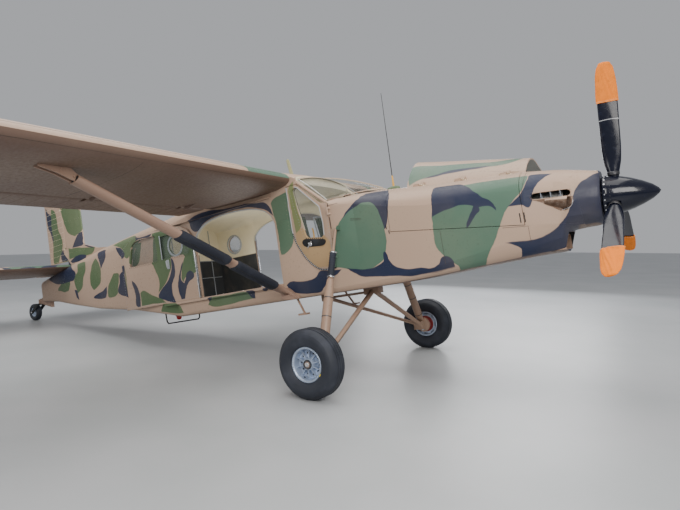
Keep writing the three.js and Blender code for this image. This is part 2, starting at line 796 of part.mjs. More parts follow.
function buildFin(rear, tailplane) {
  const section = foil(FIN_CHORD, 0.1, 0);
  const hinge = hingeOf(section, FIN_CUT);
  const height = FIN_TOP_Z - FIN_BASE_Z;
  const place = new THREE.Matrix4().makeRotationX(Math.PI / 2);
  place.setPosition(FIN_LE_X, 0, FIN_BASE_Z);
  const front = span(frontOutline(section, FIN_CUT), [
    [-220, 1, 1],
    [height - 60, 1, 1],
    [height, 0.5, 0.95],
  ], [0, 0]);
  const stations = [250, 1000, 1700];
  const arms = stations.map((y) => armFor(hinge, FIN_CUT, y));
  const fin = placed(joined([front, ...arms]), place);
  const fillet = sidePlate([
    [-4850, 2300],
    [-5070, 2412],
    [-5370, 2450],
    [-5790, 2590],
    [-5900, 2590],
    [-5900, 2200],
    [-5000, 2200],
  ], -28, 28);
  addPiece('fin', carve(fin.add(fillet), rear.add(tailplane)), 'camouflage');
  const rudder = hingedPanel(section, FIN_CUT, [
    [25, 1, 1],
    [height - 60, 1, 1],
    [height, 0.6, 0.97],
  ], stations);
  addPiece('rudder', placed(rudder, place), 'camouflage');
}

// Engine, its cowls and the propeller share the tilted thrust line
const thrust = new THREE.Group();
thrust.position.set(PROP_HUB_X, 0, PROP_HUB_Z);
thrust.rotation.y = toRadians(PROP_DOWN_TILT);
const thrustMatrix = new THREE.Matrix4().makeRotationY(toRadians(PROP_DOWN_TILT));
thrustMatrix.setPosition(PROP_HUB_X, 0, PROP_HUB_Z);

const ENGINE_RADIUS = 240;
const ENGINE_FRONT = -440;
const ENGINE_BACK = -2010;
const SHAFT_RADIUS = 50;
const SPINNER_BACK = -103;

function buildEngine() {
  const point = (x) => new THREE.Vector3(x, 0, 0);
  const block = bar(point(ENGINE_BACK), point(ENGINE_FRONT), ENGINE_RADIUS);
  const nose = bar(point(ENGINE_FRONT - 10), point(-250), 150, 110);
  const shaft = bar(point(-260), point(SPINNER_BACK - SEAT_GAP), SHAFT_RADIUS);
  const mount = bar(point(-2330), point(ENGINE_BACK + 10), 200);
  const engine = placed(joined([block, nose, shaft, mount]), thrustMatrix);
  const behind = box(-1000, FIREWALL_X + SEAT_GAP, -REACH, REACH, 900, 2600);
  addPiece('engine', engine.subtract(behind), 'steel');
}

// The seam between the upper and the lower cowl falls evenly towards the nose
function seamZ(x) {
  return 1592 - 0.14 * (x - 600);
}

// Everything above the seam between two places along X, raised a little from it
function aboveSeam(rear, front, raise = 0) {
  return [
    [rear, seamZ(rear) + raise],
    [front, seamZ(front) + raise],
    [front, 2400],
    [rear, 2400],
  ];
}

// Cowl doors: each is hinged beside the crown. The port one stands open, as the angle says.
const COWL_DOOR = { rear: 700, front: 2090, y: 60, gap: 5.5, open: 65 };
const COWL_HINGE = {
  rearZ: 2123, frontZ: 1969, pin: 5, hole: 5.7, eye: 10, half: 30, stations: [900, 1400, 1900],
};

function cowlHingePoint(x) {
  const { rear, front, y } = COWL_DOOR;
  const { rearZ, frontZ } = COWL_HINGE;
  return new THREE.Vector3(x, y, rearZ + (frontZ - rearZ) * (x - rear) / (front - rear));
}

function cowlHingeBar(radius, x0, x1) {
  return bar(cowlHingePoint(x0), cowlHingePoint(x1), radius, radius, PIN_SIDES);
}

// A hinge leaf at a station, from the hinge line out to one side
function cowlLeaf(x0, x1, y0, y1) {
  const z = cowlHingePoint((x0 + x1) / 2).z;
  return box(x0, x1, COWL_DOOR.y + y0, COWL_DOOR.y + y1, z - 30, z + 7);
}

function buildCowlDoor(shell) {
  const { rear, front, y, gap, open } = COWL_DOOR;
  const { hole, eye, half, stations } = COWL_HINGE;
  const outline = aboveSeam(rear + gap / 2, front - gap / 2, gap);
  const panel = shell.intersect(sidePlate(outline, y + gap / 2, REACH));
  const leaves = stations.map((x) => (
    cowlHingeBar(eye, x - half, x + half).add(cowlLeaf(x - half, x + half, 0, 50))
  ));
  const bores = stations.map((x) => cowlHingeBar(hole, x - 2 * half, x + 2 * half));
  const closed = without(joined([panel, ...leaves]), bores);
  addPiece('cowl_door_starboard', mirrored(closed), 'camouflage');

  const axis = cowlHingePoint(front).sub(cowlHingePoint(rear)).normalize();
  const pivot = cowlHingePoint(rear);
  const swing = new THREE.Matrix4().makeTranslation(pivot.x, pivot.y, pivot.z);
  swing.multiply(new THREE.Matrix4().makeRotationAxis(axis, toRadians(open)));
  swing.multiply(new THREE.Matrix4().makeTranslation(-pivot.x, -pivot.y, -pivot.z));
  addPiece('cowl_door_port', placed(closed, swing), 'camouflage');
}

// The fixed lugs and pins of one cowl door, beside the crown
function cowlLugs() {
  const { eye, pin, half, stations } = COWL_HINGE;
  return joined(stations.flatMap((x) => [
    cowlHingeBar(pin, x - half - 20, x + half + 20),
    ...[-1, 1].map((end) => {
      const [x0, x1] = [x + end * (half + 3), x + end * (half + 26)].sort((a, b) => a - b);
      return cowlHingeBar(eye, x0, x1).add(cowlLeaf(x0, x1, -40, 0));
    }),
  ]));
}

// The exhaust: a panel of the upper cowl with a long vent, and the stub that bulges below it
const EXHAUST_OUTLINE = [
  [2178, 1648],
  [2186, 1678],
  [2214, 1690],
  [2524, 1669],
  [2550, 1652],
  [2558, 1600],
  [2552, 1522],
  [2530, 1488],
  [2490, 1463],
  [2430, 1460],
  [2364, 1508],
  [2274, 1574],
  [2214, 1606],
  [2186, 1618],
];
const EXHAUST_VENT = [
  [2190, 1648],
  [2198, 1670],
  [2220, 1677],
  [2512, 1657],
  [2536, 1645],
  [2542, 1624],
  [2534, 1603],
  [2512, 1593],
  [2220, 1618],
  [2198, 1627],
];
const EXHAUST_STUB = { from: [2300, 322, 1575], to: [2495, 300, 1535], radius: 38, endRadius: 68 };
const EXHAUST_INNER_Y = 262;

// The air intake under the nose, open to the front
const CHIN_MOUTH = { rear: 2080, front: 2520, half: 196, low: 1084, top: 1252 };

function buildCowls() {
  const outer = hull(COWL_TABLE);
  const inner = loft(COWL_TABLE.map((row, i) => {
    const ring = hullRing(row, COWL_SKIN);
    const reach = i === 0 ? -1 : 0;
    const ahead = i === COWL_TABLE.length - 1 ? 1 : 0;
    return ring.map((point) => point.clone().add(new THREE.Vector3(reach + ahead, 0, 0)));
  }), ['y', 'z']);
  const shell = outer.subtract(inner);
  const above = sidePlate(aboveSeam(600, 2800), -REACH, REACH);
  const recess = sidePlate(grown(EXHAUST_OUTLINE, SEAT_GAP), -REACH, REACH);
  const { rear, front, y, gap } = COWL_DOOR;
  const doorway = sidePlate(aboveSeam(rear - gap / 2, front + gap / 2, -1), y - gap / 2, REACH);
  const upper = without(shell.intersect(above), [recess, doorway, mirrored(doorway)]);
  const lugs = cowlLugs();
  addPiece('upper_cowl', joined([upper, lugs, mirrored(lugs)]), 'camouflage');
  buildCowlDoor(shell);

  const { front: mouthFront, rear: mouthRear, half, low, top } = CHIN_MOUTH;
  const mouth = box(mouthRear, mouthFront, -half, half, low, top);
  const lower = shell.subtract(above.translate([0, 0, -SEAT_GAP]));
  addPiece('lower_cowl', lower.subtract(mouth), 'camouflage');

  // The exhaust panels are what the recesses leave of the same skin
  const panel = shell.intersect(sidePlate(EXHAUST_OUTLINE, EXHAUST_INNER_Y, REACH));
  const { from, to, radius, endRadius } = EXHAUST_STUB;
  const bulge = bar(new THREE.Vector3(...from), new THREE.Vector3(...to), radius, endRadius);
  const within = sidePlate(grown(EXHAUST_OUTLINE, -2), EXHAUST_INNER_Y, REACH);
  const vent = sidePlate(EXHAUST_VENT, 0, REACH);
  const exhaust = panel.add(bulge.intersect(within)).subtract(vent);
  addPair('exhaust', exhaust, 'steel');
}

// The round nose, sheared so that its front face squares up to the thrust line
function buildNoseRing() {
  const lean = Math.tan(toRadians(PROP_DOWN_TILT));
  const [back, front] = [NOSE_TABLE[0][0], NOSE_TABLE.at(-1)[0]];
  const nose = loft(NOSE_TABLE.map((row) => {
    const share = (row[0] - back) / (front - back);
    return hullRing(row).map((point) => (
      point.setX(point.x + (point.z - 1545) * lean * share)
    ));
  }), ['y', 'z']);
  const opening = bar(new THREE.Vector3(2500, 0, 1571), new THREE.Vector3(2900, 0, 1533), 165, 175);
  addPiece('nose_ring', nose.subtract(opening), 'black');
}

// radius, chord, thickness, pitch angle from the plane of rotation
const BLADE_TABLE = [
  [95, 88, 88, 90],
  [210, 104, 82, 92],
  [330, 154, 56, 96],
  [470, 174, 42, 93],
  [680, 176, 33, 88],
  [900, 180, 26, 83],
  [1100, 166, 20, 79],
  [1230, 132, 15, 77],
  [PROP_RADIUS, 80, 10, 76],
];

function bladeRing([radius, chord, thickness, pitch], extra = 0) {
  const ring = [];
  const turn = toRadians(pitch);
  for (let i = 0; i < 12; i += 1) {
    const angle = Math.PI * 2 * i / 12;
    const wide = (chord / 2 + extra) * Math.cos(angle);
    const thick = (thickness / 2 + extra) * Math.sin(angle);
    ring.push(new THREE.Vector3(
      wide * Math.sin(turn) + thick * Math.cos(turn),
      wide * Math.cos(turn) - thick * Math.sin(turn),
      radius,
    ));
  }
  return ring;
}

const COVER_START = 900;
const COVER_WALL = 7;

function buildPropeller() {
  const profile = [
    [0, SPINNER_BACK],
    [186, SPINNER_BACK],
    [192, SPINNER_BACK + 8],
    [192, -20],
    [178, 60],
    [150, 150],
    [112, 240],
    [68, 320],
    [28, 368],
    [0, 386],
  ].map(([radius, along]) => new THREE.Vector2(radius, along));
  const spinnerGeometry = new THREE.LatheGeometry(profile, 32);
  spinnerGeometry.rotateZ(-Math.PI / 2);
  let spinner = solid(spinnerGeometry);
  if (spinner.volume() < 0) {
    spinner = solid(new THREE.LatheGeometry(profile.reverse(), 32).rotateZ(-Math.PI / 2));
  }
  const blade = loft(BLADE_TABLE.map((row) => bladeRing(row)), ['x', 'y']);
  const [root, neck] = BLADE_TABLE;
  const socket = loft([
    bladeRing([root[0] - SEAT_GAP, ...root.slice(1)], CARVE_GAP),
    bladeRing(neck, CARVE_GAP),
  ], ['x', 'y']);
  const covered = BLADE_TABLE.filter(([radius]) => radius >= COVER_START);
  const last = BLADE_TABLE.at(-1).slice(1);
  const tip = [PROP_RADIUS + COVER_WALL, ...last];
  const sleeve = loft([...covered, tip].map((row) => bladeRing(row, COVER_WALL)), ['x', 'y']);
  const hollow = loft([
    [COVER_START - 5, ...covered[0].slice(1)],
    ...covered,
    [PROP_RADIUS + CARVE_GAP, ...last],
  ].map((row) => bladeRing(row, CARVE_GAP)), ['x', 'y']);
  const cover = sleeve.subtract(hollow);
  const letters = ['a', 'b', 'c'];
  for (let i = 0; i < BLADES; i += 1) {
    const turn = new THREE.Matrix4().makeRotationX(toRadians(PROP_FIRST_BLADE + 360 / BLADES * i));
    const turned = placed(blade, turn);
    spinner = spinner.subtract(placed(socket, turn));
    addPiece(`blade_${letters[i]}`, turned, 'black', thrust);
    addPiece(`blade_cover_${letters[i]}`, placed(cover, turn), 'orange', thrust);
  }
  addPiece('spinner', spinner, 'black', thrust);
}

// Main gear: shock leg with axle, vee legs to the keel, wheel
const KNUCKLE_HALF_Y = 45;
const KEEL_FRONT_HALF = 60;
const KEEL_REAR_HALF = 50;
const AXLE_RADIUS = 30;

function buildMainGear() {
  const foot = new THREE.Vector3(AXLE.x, AXLE_END_Y, AXLE.z);
  const top = new THREE.Vector3(75, 668, 1740);
  const at = (share) => top.clone().lerp(foot, share);
  const rod = bar(at(0), at(0.32), 17);
  const sleeve = bar(at(0.2), at(0.4), 33);
  const tube = bar(at(0.4), at(0.97), 30, 46);
  const knuckle = box(
    AXLE.x - 60, AXLE.x + 60, AXLE_END_Y - KNUCKLE_HALF_Y, AXLE_END_Y + KNUCKLE_HALF_Y,
    AXLE.z - 60, AXLE.z + 75,
  );
  const axle = crossBar(AXLE.x, AXLE.z, AXLE_END_Y, TRACK_HALF + 70, AXLE_RADIUS, 24);
  const brake = crossBar(AXLE.x, AXLE.z, AXLE_END_Y + 40, AXLE_END_Y + 62, 105, 24);
  const caliper = box(
    AXLE.x - 125, AXLE.x - 50, AXLE_END_Y - 20, AXLE_END_Y + 60, AXLE.z - 60, AXLE.z + 60,
  );
  const bracket = box(50, 100, 560, 684, 1716, 1766);
  const leg = joined([rod, sleeve, tube, knuckle, axle, brake, caliper, bracket]);
  addPair('gear_leg', carve(leg, hull(DECK_TABLE), SIDEWAYS), 'brown');

  const inner = AXLE_END_Y - KNUCKLE_HALF_Y - SEAT_GAP;
  const end = new THREE.Vector3(AXLE.x, inner + 10, AXLE.z);
  const frontLeg = bar(new THREE.Vector3(70, 20, 960), end, 33, 27);
  const rearLeg = bar(new THREE.Vector3(-620, 20, 945), end, 24, 22);
  const plate = box(AXLE.x - 55, AXLE.x + 55, inner - 60, inner, AXLE.z - 50, AXLE.z + 60);
  const beyond = box(-1000, 500, inner, 2000, 0, 2000);
  const keelFront = box(-60, 200, -10, KEEL_FRONT_HALF + SEAT_GAP, 800, 1200);
  const keelRear = box(-800, -400, -10, KEEL_REAR_HALF + SEAT_GAP, 800, 1200);
  const vee = without(joined([frontLeg, rearLeg, plate]), [beyond, keelFront, keelRear]);
  const belly = box(-1000, 500, -10, REACH, 1000 - SEAT_GAP, 1400);
  addPair('gear_vee', carve(vee.subtract(belly), leg, [[0, -1, 0], [0, 0, -1]]), 'brown');

  const keelTop = 1000 - SEAT_GAP;
  const tie = joined([
    box(-40, 180, -KEEL_FRONT_HALF, KEEL_FRONT_HALF, 922, keelTop),
    box(-690, -555, -KEEL_REAR_HALF, KEEL_REAR_HALF, 915, keelTop),
    box(-600, 0, -16, 16, 936, 968),
  ]);
  addPiece('keel_tie', tie, 'brown');
}

function lathe(profile, segments) {
  const points = profile.map(([radius, along]) => new THREE.Vector2(radius, along));
  const shape = solid(new THREE.LatheGeometry(points, segments));
  if (shape.volume() > 0) {
    return shape;
  }
  return solid(new THREE.LatheGeometry(points.reverse(), segments));
}

// A tyre's closed profile: radius and distance from its middle plane
function tyreProfile(outer, half, seat) {
  const shoulder = outer - half * 0.36;
  const middle = (outer + seat) / 2;
  const right = [
    [seat, half * 0.62],
    [seat + half * 0.18, half * 0.84],
    [middle, half],
    [shoulder, half * 0.9],
    [outer - half * 0.1, half * 0.6],
    [outer, half * 0.25],
  ];
  const left = right.map(([radius, along]) => [radius, -along]).reverse();
  return [...right, ...left, right[0]];
}

const RIM_RADIUS = 176;
const WHEEL_SEGMENTS = 36;
const HUB_BORE = 30.6;

function buildMainWheels() {
  for (const [side, name] of [[1, 'port'], [-1, 'starboard']]) {
    const wheel = new THREE.Group();
    wheel.position.set(AXLE.x, side * TRACK_HALF, AXLE.z);
    aircraft.add(wheel);
    const tyre = lathe(tyreProfile(WHEEL_RADIUS, WHEEL_HALF_WIDTH, RIM_RADIUS + SEAT_GAP), WHEEL_SEGMENTS);
    addPiece(`main_tyre_${name}`, tyre, 'rubber', wheel);
    const rim = lathe([
      [HUB_BORE, -62],
      [64, -62],
      [70, -22],
      [152, -24],
      [160, -78],
      [RIM_RADIUS, -78],
      [RIM_RADIUS, 78],
      [160, 78],
      [152, 24],
      [70, 22],
      [64, 66],
      [HUB_BORE, 66],
      [HUB_BORE, -62],
    ], WHEEL_SEGMENTS);
    addPiece(`main_rim_${name}`, rim, 'silver', wheel);
  }
}

// Tail wheel: fixed leg, steered fork, wheel
function buildTailGear(rear) {
  const pivotLow = fromGround(TAIL_PIVOT_X, 0, 350);
  const pivotHigh = fromGround(TAIL_PIVOT_X, 0, 430);
  const collar = bar(pivotLow, pivotHigh, 42);
  const arm = sidePlate([
    [-7010, 1700],
    [-7010, 1560],
    [pivotLow.x - 10, pivotLow.z + 12],
    [pivotHigh.x - 10, pivotHigh.z - 8],
    [-7190, 1800],
  ], -30, 30);
  const bore = bar(fromGround(TAIL_PIVOT_X, 0, 300), fromGround(TAIL_PIVOT_X, 0, 460), 18.5);
  addPiece('tail_leg', carve(joined([arm, collar]), rear).subtract(bore), 'brown');

  const fork = new THREE.Group();
  const forkPlace = fromGround(TAIL_PIVOT_X, 0, 0);
  fork.position.copy(forkPlace);
  fork.rotation.y = parked;
  aircraft.add(fork);
  const trail = TAIL_WHEEL_X - TAIL_PIVOT_X;
  const post = bar(new THREE.Vector3(0, 0, 330), new THREE.Vector3(0, 0, 440), 18);
  const crown = box(-70, 45, -78, 78, 326, 346);
  const cheeks = [1, -1].map((side) => sidePlate([
    [-70, 330],
    [trail - 34, TAIL_WHEEL_RADIUS - 12],
    [trail, TAIL_WHEEL_RADIUS - 34],
    [trail + 34, TAIL_WHEEL_RADIUS - 12],
    [45, 330],
  ], side > 0 ? 62 : -78, side > 0 ? 78 : -62));
  const axle = crossBar(trail, TAIL_WHEEL_RADIUS, -82, 82, 12, 24);
  addPiece('tail_fork', joined([post, crown, ...cheeks, axle]), 'black', fork);

  const wheel = new THREE.Group();
  wheel.position.set(trail, 0, TAIL_WHEEL_RADIUS);
  fork.add(wheel);
  const tyre = lathe([
    [12.6, 34],
    [70, 30],
    [84, 46],
    [128, 52],
    [156, 36],
    [TAIL_WHEEL_RADIUS, 14],
    [TAIL_WHEEL_RADIUS, -14],
    [156, -36],
    [128, -52],
    [84, -46],
    [70, -30],
    [12.6, -34],
    [12.6, 34],
  ], 28);
  addPiece('tail_wheel', tyre, 'rubber', wheel);
}

const SLIDING_DOOR_OUTLINE = [
  [-2262, SLIDING_DOOR_LOW_Z],
  [-2262, 2040],
  [-2285, 2120],
  [-2360, 2200],
  [-2480, 2262],
  [-2640, SLIDING_DOOR_TOP_Z],
  [-3420, SLIDING_DOOR_TOP_Z],
  [-3600, 2262],
  [-3740, 2190],
  [-3825, 2090],
  [-3852, 1980],
  [-3852, SLIDING_DOOR_LOW_Z],
];
const FRONT_PANE_OUTLINE = [
  [-2935, 1850],
  [-2345, 1850],
  [-2345, 2120],
  [-2420, 2190],
  [-2935, 2190],
];
const REAR_PANE_OUTLINE = [
  [-3660, 1845],
  [-3015, 1845],
  [-3015, 2230],
  [-3440, 2230],
  [-3560, 2180],
];

function buildSlidingDoors() {
  const panel = sidePlate(SLIDING_DOOR_OUTLINE, SLIDE_IN, SLIDE_OUT);
  const panes = [FRONT_PANE_OUTLINE, REAR_PANE_OUTLINE].map((outline) => (
    sidePlate(outline, SLIDE_IN - 10, SLIDE_OUT + 10)
  ));
  addPair('sliding_door', without(panel, panes), 'camouflage');
}

// Interior that shows through the glass and the open doorways
function buildInterior() {
  const seat = joined([
    box(-560, -270, 190, 390, FLOOR_Z + SEAT_GAP, 1460),
    box(-690, -220, 110, 490, 1450, 1560),
    sidePlate([
      [-690, 1500],
      [-600, 1500],
      [-690, 2080],
      [-770, 2080],
    ], 120, 480),
  ]);
  addPair('pilot_seat', seat, 'canvas');
  const panel = joined([
    box(90, 130, -450, 450, 1640, 2022),
    box(125, 330, -440, 440, 1860, 2022),
  ]);
  const pedestal = box(95, 620 - SEAT_GAP, -90, 90, FLOOR_Z + SEAT_GAP, 1700);
  addPiece('instrument_panel', panel.add(pedestal), 'black');
}

// Aerials and steps
function buildFittings(deckTop, roofTop, rearBottom) {
  const whip = joined([
    box(520, 625, -22, 22, 2090, 2158),
    bar(new THREE.Vector3(572, 0, 2150), new THREE.Vector3(575, 0, 2300), 14, 9, 10),
    bar(new THREE.Vector3(574, 0, 2290), new THREE.Vector3(605, 0, 3325), 6, 3, 8),
  ]);
  addPiece('whip_aerial', carve(whip, deckTop, UP), 'brown');

  const blade = sidePlate([
    [-960, 2600],
    [-850, 2600],
    [-868, 2905],
    [-925, 2905],
  ], -7, 7);
  addPiece('blade_aerial', carve(blade, roofTop, UP), 'camouflage');

  const tubeAt = (x0, z0, x1, z1) => bar(
    new THREE.Vector3(x0, 0, z0), new THREE.Vector3(x1, 0, z1), 11, 11, 8,
  );
  const rail = joined([
    tubeAt(-3815, 1260, -3790, 950),
    tubeAt(-3793, 955, -3760, 918),
    tubeAt(-3768, 919, -3060, 925),
    tubeAt(-3068, 922, -3035, 955),
    tubeAt(-3037, 950, -3020, 1150),
  ]);
  addPiece('belly_aerial', carve(rail, rearBottom, DOWN), 'black');

  const step = joined([
    bar(new THREE.Vector3(-700, 560, 1020), new THREE.Vector3(-590, 590, 815), 14, 14, 10),
    box(-650, -530, 570, 650, 800, 822),
  ]);
  const belly = box(-1200, 500, -REACH, REACH, 1000 - SEAT_GAP, 1400);
  addPair('entry_step', step.subtract(belly), 'brown');
}

const { outer, doorCut } = buildCabin();
const cockpit = buildCockpitShell(doorCut);
addPiece('windscreen', carve(buildWindscreen(), cockpit.add(hull(DECK_TABLE))), 'glass');
const tailplane = buildTail();
const rear = buildRearFuselage(tailplane);
buildFin(rear, tailplane);
const wing = buildWing();
buildWingStrut(wing);
buildEngine();
buildCowls();
buildNoseRing();
buildPropeller();
buildMainGear();
buildMainWheels();
buildTailGear(rear);
buildSlidingDoors();
buildInterior();
buildFittings(hull(DECK_TABLE), outer, rear);
aircraft.add(thrust);

aircraft.rotation.y = -parked;

const part = new THREE.Group();
part.add(aircraft);
part.updateMatrixWorld(true);
const bounds = new THREE.Box3().setFromObject(part, true);
aircraft.position.x = -(bounds.min.x + bounds.max.x) / 2;

export default part;
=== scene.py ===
"""The visual model of a high-wing military transport plane, dressed around its CAD frame."""
import json
import math
from math import cos, pi, radians, sin

import bmesh
import bpy
import numpy as np
from mathutils import Matrix, Vector
from mathutils.bvhtree import BVHTree

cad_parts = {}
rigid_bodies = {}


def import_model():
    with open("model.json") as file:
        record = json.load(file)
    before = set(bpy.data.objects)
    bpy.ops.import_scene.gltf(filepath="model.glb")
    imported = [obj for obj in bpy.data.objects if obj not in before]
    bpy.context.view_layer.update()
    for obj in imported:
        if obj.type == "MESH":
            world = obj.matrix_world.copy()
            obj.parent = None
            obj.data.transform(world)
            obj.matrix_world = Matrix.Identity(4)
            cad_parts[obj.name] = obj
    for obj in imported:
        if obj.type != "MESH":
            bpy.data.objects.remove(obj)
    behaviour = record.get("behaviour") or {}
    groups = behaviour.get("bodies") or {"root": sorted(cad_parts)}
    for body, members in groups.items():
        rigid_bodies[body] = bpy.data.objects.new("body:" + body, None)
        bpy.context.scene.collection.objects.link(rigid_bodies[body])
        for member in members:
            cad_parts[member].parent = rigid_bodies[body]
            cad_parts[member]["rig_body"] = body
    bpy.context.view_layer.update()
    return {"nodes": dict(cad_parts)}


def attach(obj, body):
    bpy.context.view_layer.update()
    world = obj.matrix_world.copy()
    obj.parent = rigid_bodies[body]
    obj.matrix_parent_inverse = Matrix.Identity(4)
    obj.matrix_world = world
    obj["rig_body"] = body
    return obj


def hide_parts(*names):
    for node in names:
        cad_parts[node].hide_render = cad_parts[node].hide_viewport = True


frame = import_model()
scene = bpy.context.scene

# The aircraft is drawn in millimetres in its own axes, x forward, y to port and z up.
PARKED = radians(10.1)
SHIFT = 2.513148
TO_FRAME = Matrix.Translation((SHIFT, 0, 0)) @ Matrix.Rotation(-PARKED, 4, "Y")
DRAWN = TO_FRAME @ Matrix.Scale(0.001, 4)
UNDRAWN = DRAWN.inverted()
PROP_HUB = (2894.66, 0, 1533)
PROP_TILT = radians(5.4)
THRUST = DRAWN @ Matrix.Translation(PROP_HUB) @ Matrix.Rotation(PROP_TILT, 4, "Y")
SIDES = {"starboard": -1, "port": 1}
UP = Vector((0, 0, 1))


# Shapes: a list of points and a list of faces

def joined(*shapes):
    points, faces = [], []
    for shape_points, shape_faces in shapes:
        start = len(points)
        points += shape_points
        faces += [tuple(start + i for i in face) for face in shape_faces]
    return points, faces


def moved(shape, matrix):
    return [matrix @ point for point in shape[0]], shape[1]


def mirrored(shape):
    return [Vector((p.x, -p.y, p.z)) for p in shape[0]], [face[::-1] for face in shape[1]]


def sided(shape, side):
    return shape if side > 0 else mirrored(shape)


def around(count):
    """Even angles round a circle."""
    return [2 * pi * k / count for k in range(count)]


def block(x0, x1, y0, y1, z0, z1):
    points = [Vector((x, y, z)) for x in (x0, x1) for y in (y0, y1) for z in (z0, z1)]
    return points, [
        (0, 1, 3, 2), (4, 6, 7, 5), (0, 4, 5, 1), (2, 3, 7, 6), (0, 2, 6, 4), (1, 5, 7, 3),
    ]


def loft(rings, closed=False):
    """Skins rings of points. An open loft gets flat ends, a closed one comes back to its start."""
    count = len(rings[0])
    points = [Vector(point) for ring in rings for point in ring]
    faces = []
    for r in range(len(rings) if closed else len(rings) - 1):
        for i in range(count):
            a, b = r * count + i, r * count + (i + 1) % count
            step = (r + 1) % len(rings) * count - r * count
            faces.append((a, b, b + step, a + step))
    if not closed:
        faces.append(tuple(range(count))[::-1])
        faces.append(tuple((len(rings) - 1) * count + i for i in range(count)))
    return points, faces


def lathe(profile, centre, axis, segments, closed=True):
    """Turns (radius, along) points about an axis. A closed profile makes a ring."""
    turn = UP.rotation_difference(Vector(axis).normalized()).to_matrix()
    rings = [[Vector(centre) + turn @ Vector((r * cos(a), r * sin(a), along))
              for r, along in profile] for a in around(segments)]
    if closed:
        return loft(rings, closed=True)
    count = len(profile)
    points = [point for ring in rings for point in ring]
    faces = []
    for r in range(segments):
        for i in range(count - 1):
            a, b = r * count + i, (r + 1) % segments * count + i
            faces.append((a, b, b + 1, a + 1))
    return points, faces


def tube(path, radius, sides, closed=False, flat=1.0, up=None):
    """A round or oval bar through points. The radius is one number, or one for each point."""
    path = [Vector(point) for point in path]
    radii = radius if isinstance(radius, (list, tuple)) else [radius] * len(path)
    rings = []
    across = None
    for i, point in enumerate(path):
        before = path[i - 1] if i or closed else point
        after = path[(i + 1) % len(path)] if i + 1 < len(path) or closed else point
        along = (after - before).normalized()
        if up is not None:
            across = along.cross(Vector(up)).normalized()
        elif across is None:
            across = along.orthogonal().normalized()
        else:
            across = (across - along * across.dot(along)).normalized()
        other = along.cross(across).normalized()
        rings.append([point + across * (radii[i] * cos(a)) + other * (radii[i] * flat * sin(a))
                      for a in around(sides)])
    return loft(rings, closed=closed)


def plate(outline, y0, y1):
    """An [x, z] outline in the side view, as thick as from y0 to y1."""
    return loft([[(x, y, z) for x, z in outline] for y in (y0, y1)])


def rim(outer, inner, y0, y1):
    """The flat ring between two outlines with the same number of points."""
    rings = [
        [(o[0], y0, o[1]), (o[0], y1, o[1]), (i[0], y1, i[1]), (i[0], y0, i[1])]
        for o, i in zip(outer, inner)
    ]
    return loft(rings, closed=True)


def grown(outline, gap):
    """An outline pushed outwards by a gap, or inwards by a negative one."""
    points = [Vector(point) for point in outline]
    area = sum(a.x * b.y - b.x * a.y for a, b in zip(points, points[1:] + points[:1]))
    turn = 1 if area > 0 else -1
    result = []
    for i, point in enumerate(points):
        one = (point - points[i - 1]).normalized()
        two = (points[(i + 1) % len(points)] - point).normalized()
        one, two = Vector((one.y, -one.x)), Vector((two.y, -two.x))
        way = (one + two).normalized()
        result.append(tuple(point + way * (turn * gap / max(0.4, way.dot(one)))))
    return result


def rounded(outline, radius, steps=4):
    """An outline with its corners cut to short curves."""
    points = [Vector(point) for point in outline]
    result = []
    for i, corner in enumerate(points):
        before, after = points[i - 1] - corner, points[(i + 1) % len(points)] - corner
        reach = min(radius, before.length * 0.45, after.length * 0.45)
        a, b = corner + before.normalized() * reach, corner + after.normalized() * reach
        for k in range(steps + 1):
            t = k / steps
            result.append(tuple(a * (1 - t) ** 2 + corner * (2 * t * (1 - t)) + b * t ** 2))
    return result


def curved(p, t):
    """The point at a share t between p[1] and p[2], on a smooth curve through four points."""
    return 0.5 * (
        2 * p[1] + (p[2] - p[0]) * t + (2 * p[0] - 5 * p[1] + 4 * p[2] - p[3]) * t ** 2
        + (3 * p[1] - p[0] - 3 * p[2] + p[3]) * t ** 3
    )


def smooth_line(points, steps, closed=False):
    """More points on a smooth line through the given ones."""
    points = [Vector(point) for point in points]
    count = len(points)
    result = []
    for i in range(count if closed else count - 1):
        near = [i + k if not closed else (i + k) % count for k in (-1, 0, 1, 2)]
        four = [points[min(max(k, 0), count - 1)] for k in near]
        result += [curved(four, k / steps) for k in range(steps)]
    return result if closed else result + [points[-1]]


# Pieces: a finished mesh that rides on a body

# Faces of a CAD skin that meet at less than this are made one.
FLAT = radians(0.4)


def settle(obj):
    """Bakes an object's modifiers into its mesh and takes them off."""
    bpy.context.view_layer.update()
    made = bpy.data.meshes.new_from_object(obj.evaluated_get(bpy.context.evaluated_depsgraph_get()))
    obj.modifiers.clear()
    obj.data = made
    return obj


def added(name, mesh):
    """A new object in the scene."""
    obj = bpy.data.objects.new(name, mesh)
    scene.collection.objects.link(obj)
    return obj


def rides(obj, body, replaces):
    """Puts an object on its body, and hides the CAD nodes it stands for."""
    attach(obj, body)
    if replaces:
        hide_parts(*replaces)
    return obj


def done(obj, body, crease, bevel=0.0, sharp=38, replaces=()):
    """Rounds the edges that are sharper than an angle, shades the rest smoothly, and rides."""
    if bevel:
        edge = obj.modifiers.new("edges", "BEVEL")
        edge.width, edge.segments = bevel / 1000, 2
        edge.limit_method, edge.angle_limit = "ANGLE", radians(sharp)
        settle(obj)
    obj.data.shade_smooth()
    obj.data.set_sharp_from_angle(angle=radians(crease))
    return rides(obj, body, replaces)


